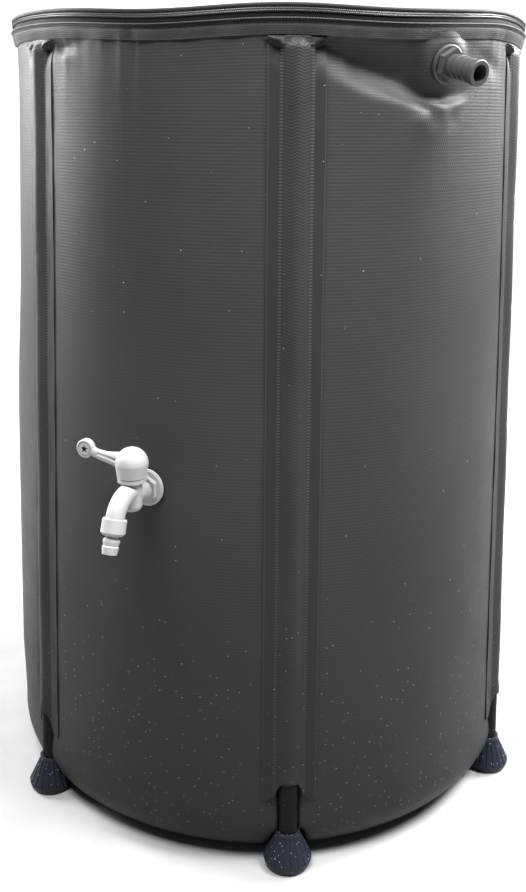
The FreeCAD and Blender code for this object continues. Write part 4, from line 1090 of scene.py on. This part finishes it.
# The mouldings
@dataclass(frozen=True)
class Mouldings:
    """The tap, the overflow, the poles and the feet: carried-over nodes in their own finishes."""

    def build(self, finishes: dict[str, Material]) -> None:
        """Gives each node of the frame its finish, by the slot that the record names."""
        slots = {part["node"]: part["material_slot"] for part in frame["record"]["subparts"]}
        for name, slot in slots.items():
            if slot in finishes:
                dress(frame["nodes"][name], finishes[slot])


# Stage, light and camera
# The soft lights: name, place, what it points at, size in metres and power in watts
LAMPS = (
    ("left_wall", (-2.0, 0.8, 1.5), (0.0, 0.0, 0.7), (0.8, 1.8), 150.0),
    ("right_wall", (2.1, 0.85, 1.9), (0.0, 0.0, 0.85), (0.8, 1.4), 250.0),
    ("over_left", (-0.5, -1.1, 2.5), (0.0, -0.2, 0.6), (1.0, 0.8), 100.0),
    ("over_right", (1.2, -0.6, 2.3), (0.1, 0.0, 0.75), (0.8, 0.8), 115.0),
    ("backdrop", (0.0, 2.2, 3.2), (0.0, 4.6, 0.8), (4.0, 1.2), 400.0),
)


@dataclass(frozen=True)
class Studio:
    """A pale floor, soft lights and the camera of the picture.

    Attributes:
        reach: How far the floor goes to each side, to the front and up behind the barrel.
        bend_from: How far behind the barrel it starts to sweep up.
        bend: Radius of that sweep.
        lens: Focal length, in millimetres.
        shift: How far the frame lies below the line of sight, as a share of its height.
        place: The camera's place, in metres.
    """

    reach: float = 9000.0
    bend_from: float = 2500.0
    bend: float = 2000.0
    lens: float = 41.88
    shift: float = -0.1906
    place: Place = (0.0, -1.274776, 0.769406)

    def floor(self) -> None:
        """A wide floor that sweeps up behind the barrel."""
        turn = np.radians(np.linspace(0.0, 90.0, 13))
        level = np.array([-self.reach, -2000.0, self.bend_from])
        sweep = self.bend_from + self.bend * np.sin(turn)
        depth = np.concatenate([level, sweep, [self.bend_from + self.bend]])
        height = np.concatenate([0.0 * level, self.bend * (1.0 - np.cos(turn)), [self.reach]])
        side = np.linspace(-self.reach, self.reach, 7)
        grid = grid_of(side, depth[:, None], height[:, None])
        faces = cells_of(np.arange(grid[..., 0].size).reshape(grid.shape[:2]))
        floor = new_piece("studio_floor", grid.reshape(-1, 3), faces)
        dress(floor, Moulding("pale_floor", (0.3, 0.3, 0.302), roughness=0.9, shine=0.0, grain=0.0).make())

    def light(self, name: str, place: Place, aim: Place, size: tuple[float, float], power: float) -> None:
        """An oblong soft light that points at a place."""
        lamp = bpy.data.lights.new(name, "AREA")
        lamp.shape = "RECTANGLE"
        lamp.size, lamp.size_y = size
        lamp.energy = power
        piece = bpy.data.objects.new(name, lamp)
        piece.location = place
        piece.rotation_euler = (Vector(aim) - Vector(place)).to_track_quat("-Z", "Y").to_euler()
        bpy.context.scene.collection.objects.link(piece)

    def camera(self) -> None:
        """The camera, which looks a little down along its line of sight with its frame shifted down."""
        lens = bpy.data.cameras.new("picture_camera")
        lens.lens = self.lens
        lens.shift_y = self.shift
        piece = bpy.data.objects.new("picture_camera", lens)
        right = (0.99994923, 0.00437808, 0.0090761)
        up = (-0.00963804, 0.15262704, 0.98823686)
        ahead = (-0.00294133, 0.98827416, -0.15266149)
        rows = [(right[k], up[k], -ahead[k], self.place[k]) for k in range(3)]
        piece.matrix_world = Matrix((*rows, (0.0, 0.0, 0.0, 1.0)))
        bpy.context.scene.collection.objects.link(piece)
        bpy.context.scene.camera = piece

    def build(self) -> None:
        """Sets up the stage."""
        self.floor()
        world = bpy.data.worlds.new("studio")
        world.use_nodes = True
        background = world.node_tree.nodes["Background"]
        background.inputs["Color"].default_value = (1.0, 1.0, 1.0, 1.0)
        background.inputs["Strength"].default_value = 0.12
        bpy.context.scene.world = world
        bpy.context.scene.view_settings.view_transform = "Standard"
        for lamp in LAMPS:
            self.light(*lamp)
        self.camera()


# Painted shade inside the star-shaped recess in the tap's lever
LEVER_STAR_SHADE = PitShade((-0.17809, -0.28498, 0.4415), (-0.39234, -0.91982, 0.0), 0.33285, 0.0056)

# Every finish, under the name of its use or of the record's slot
FINISHES = {
    "wall": CoatedCloth("wall_cloth", Weave.DASHES, (0.036, 0.0364, 0.037), drops_and_painted_light=True),
    "lid": CoatedCloth("lid_cloth", Weave.DASHES, (0.034, 0.0344, 0.035)),
    "sleeve": CoatedCloth("sleeve_cloth", Weave.SLEEVE, (0.034, 0.0344, 0.035), drops_and_painted_light=True),
    "rim": CoatedCloth("rim_webbing", Weave.RIM, (0.066, 0.067, 0.068), relief=0.0005),
    "rim_webbing": CoatedCloth("inlet_webbing", Weave.TAPE, (0.02, 0.0205, 0.021), relief=0.0002),
    "tape": CoatedCloth("zip_tape", Weave.TAPE, (0.009, 0.009, 0.0095), roughness=0.7, shine=0.1),
    "teeth": Moulding("zip_teeth", (0.055, 0.056, 0.058), roughness=0.35),
    "piping": Moulding("lid_binding", (0.024, 0.0243, 0.025), roughness=0.6, shine=0.2),
    "barrel_cloth": Moulding("base_cloth", (0.034, 0.0344, 0.035), roughness=0.5, shine=0.25),
    "zip_metal": Moulding("zip_metal", (0.05, 0.05, 0.052), roughness=0.3, metal=1.0),
    "inlet_mesh": Moulding("coated_net", (0.012, 0.012, 0.0125), roughness=0.45, shine=0.3),
    "pole_plastic": Moulding("pole_tube", (0.0025, 0.0026, 0.003), roughness=0.6, shine=0.12, drops_and_painted_light=True),
    "foot_plastic": Moulding("foot_moulding", (0.0085, 0.011, 0.0175), roughness=0.45, shine=0.22, drops_and_painted_light=True),
    "tap_plastic": Moulding("tap_moulding", (0.32, 0.323, 0.328), roughness=0.45, shine=0.25, pit_shade=LEVER_STAR_SHADE),
    "bonnet_plastic": Moulding("bonnet_moulding", (0.3, 0.304, 0.31), roughness=0.4),
    "seal_plastic": Moulding("valve_plug", (0.55, 0.56, 0.57), roughness=0.3),
    "seal_rubber": Moulding("seal_rubber", (0.01, 0.01, 0.0105), roughness=0.6, shine=0.2),
    "overflow_plastic": Moulding("overflow_moulding", (0.048, 0.049, 0.051), roughness=0.42),
    "zip_coil": Moulding("zip_stops", (0.03, 0.031, 0.033), roughness=0.4),
}


def main() -> None:
    """Builds the barrel's pieces in order and reports each step."""
    logging.basicConfig(level=logging.INFO, format="%(message)s")
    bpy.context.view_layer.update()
    finishes = {use: finish.make() for use, finish in FINISHES.items()}
    Mouldings().build(finishes)
    LOG.info("mouldings dressed")
    ClothWall().build(finishes["wall"])
    LOG.info("wall built")
    names = ("front_left", "front", "front_right", "back_right", "back", "back_left")
    for number, name in enumerate(names):
        PoleSleeve(number, f"sleeve_{name}").build(finishes["sleeve"])
    LOG.info("sleeves built")
    Rim().build(finishes)
    Lid().build(finishes["lid"])
    LOG.info("rim and lid built")
    Studio().build()


if __name__ == "__main__":
    main()
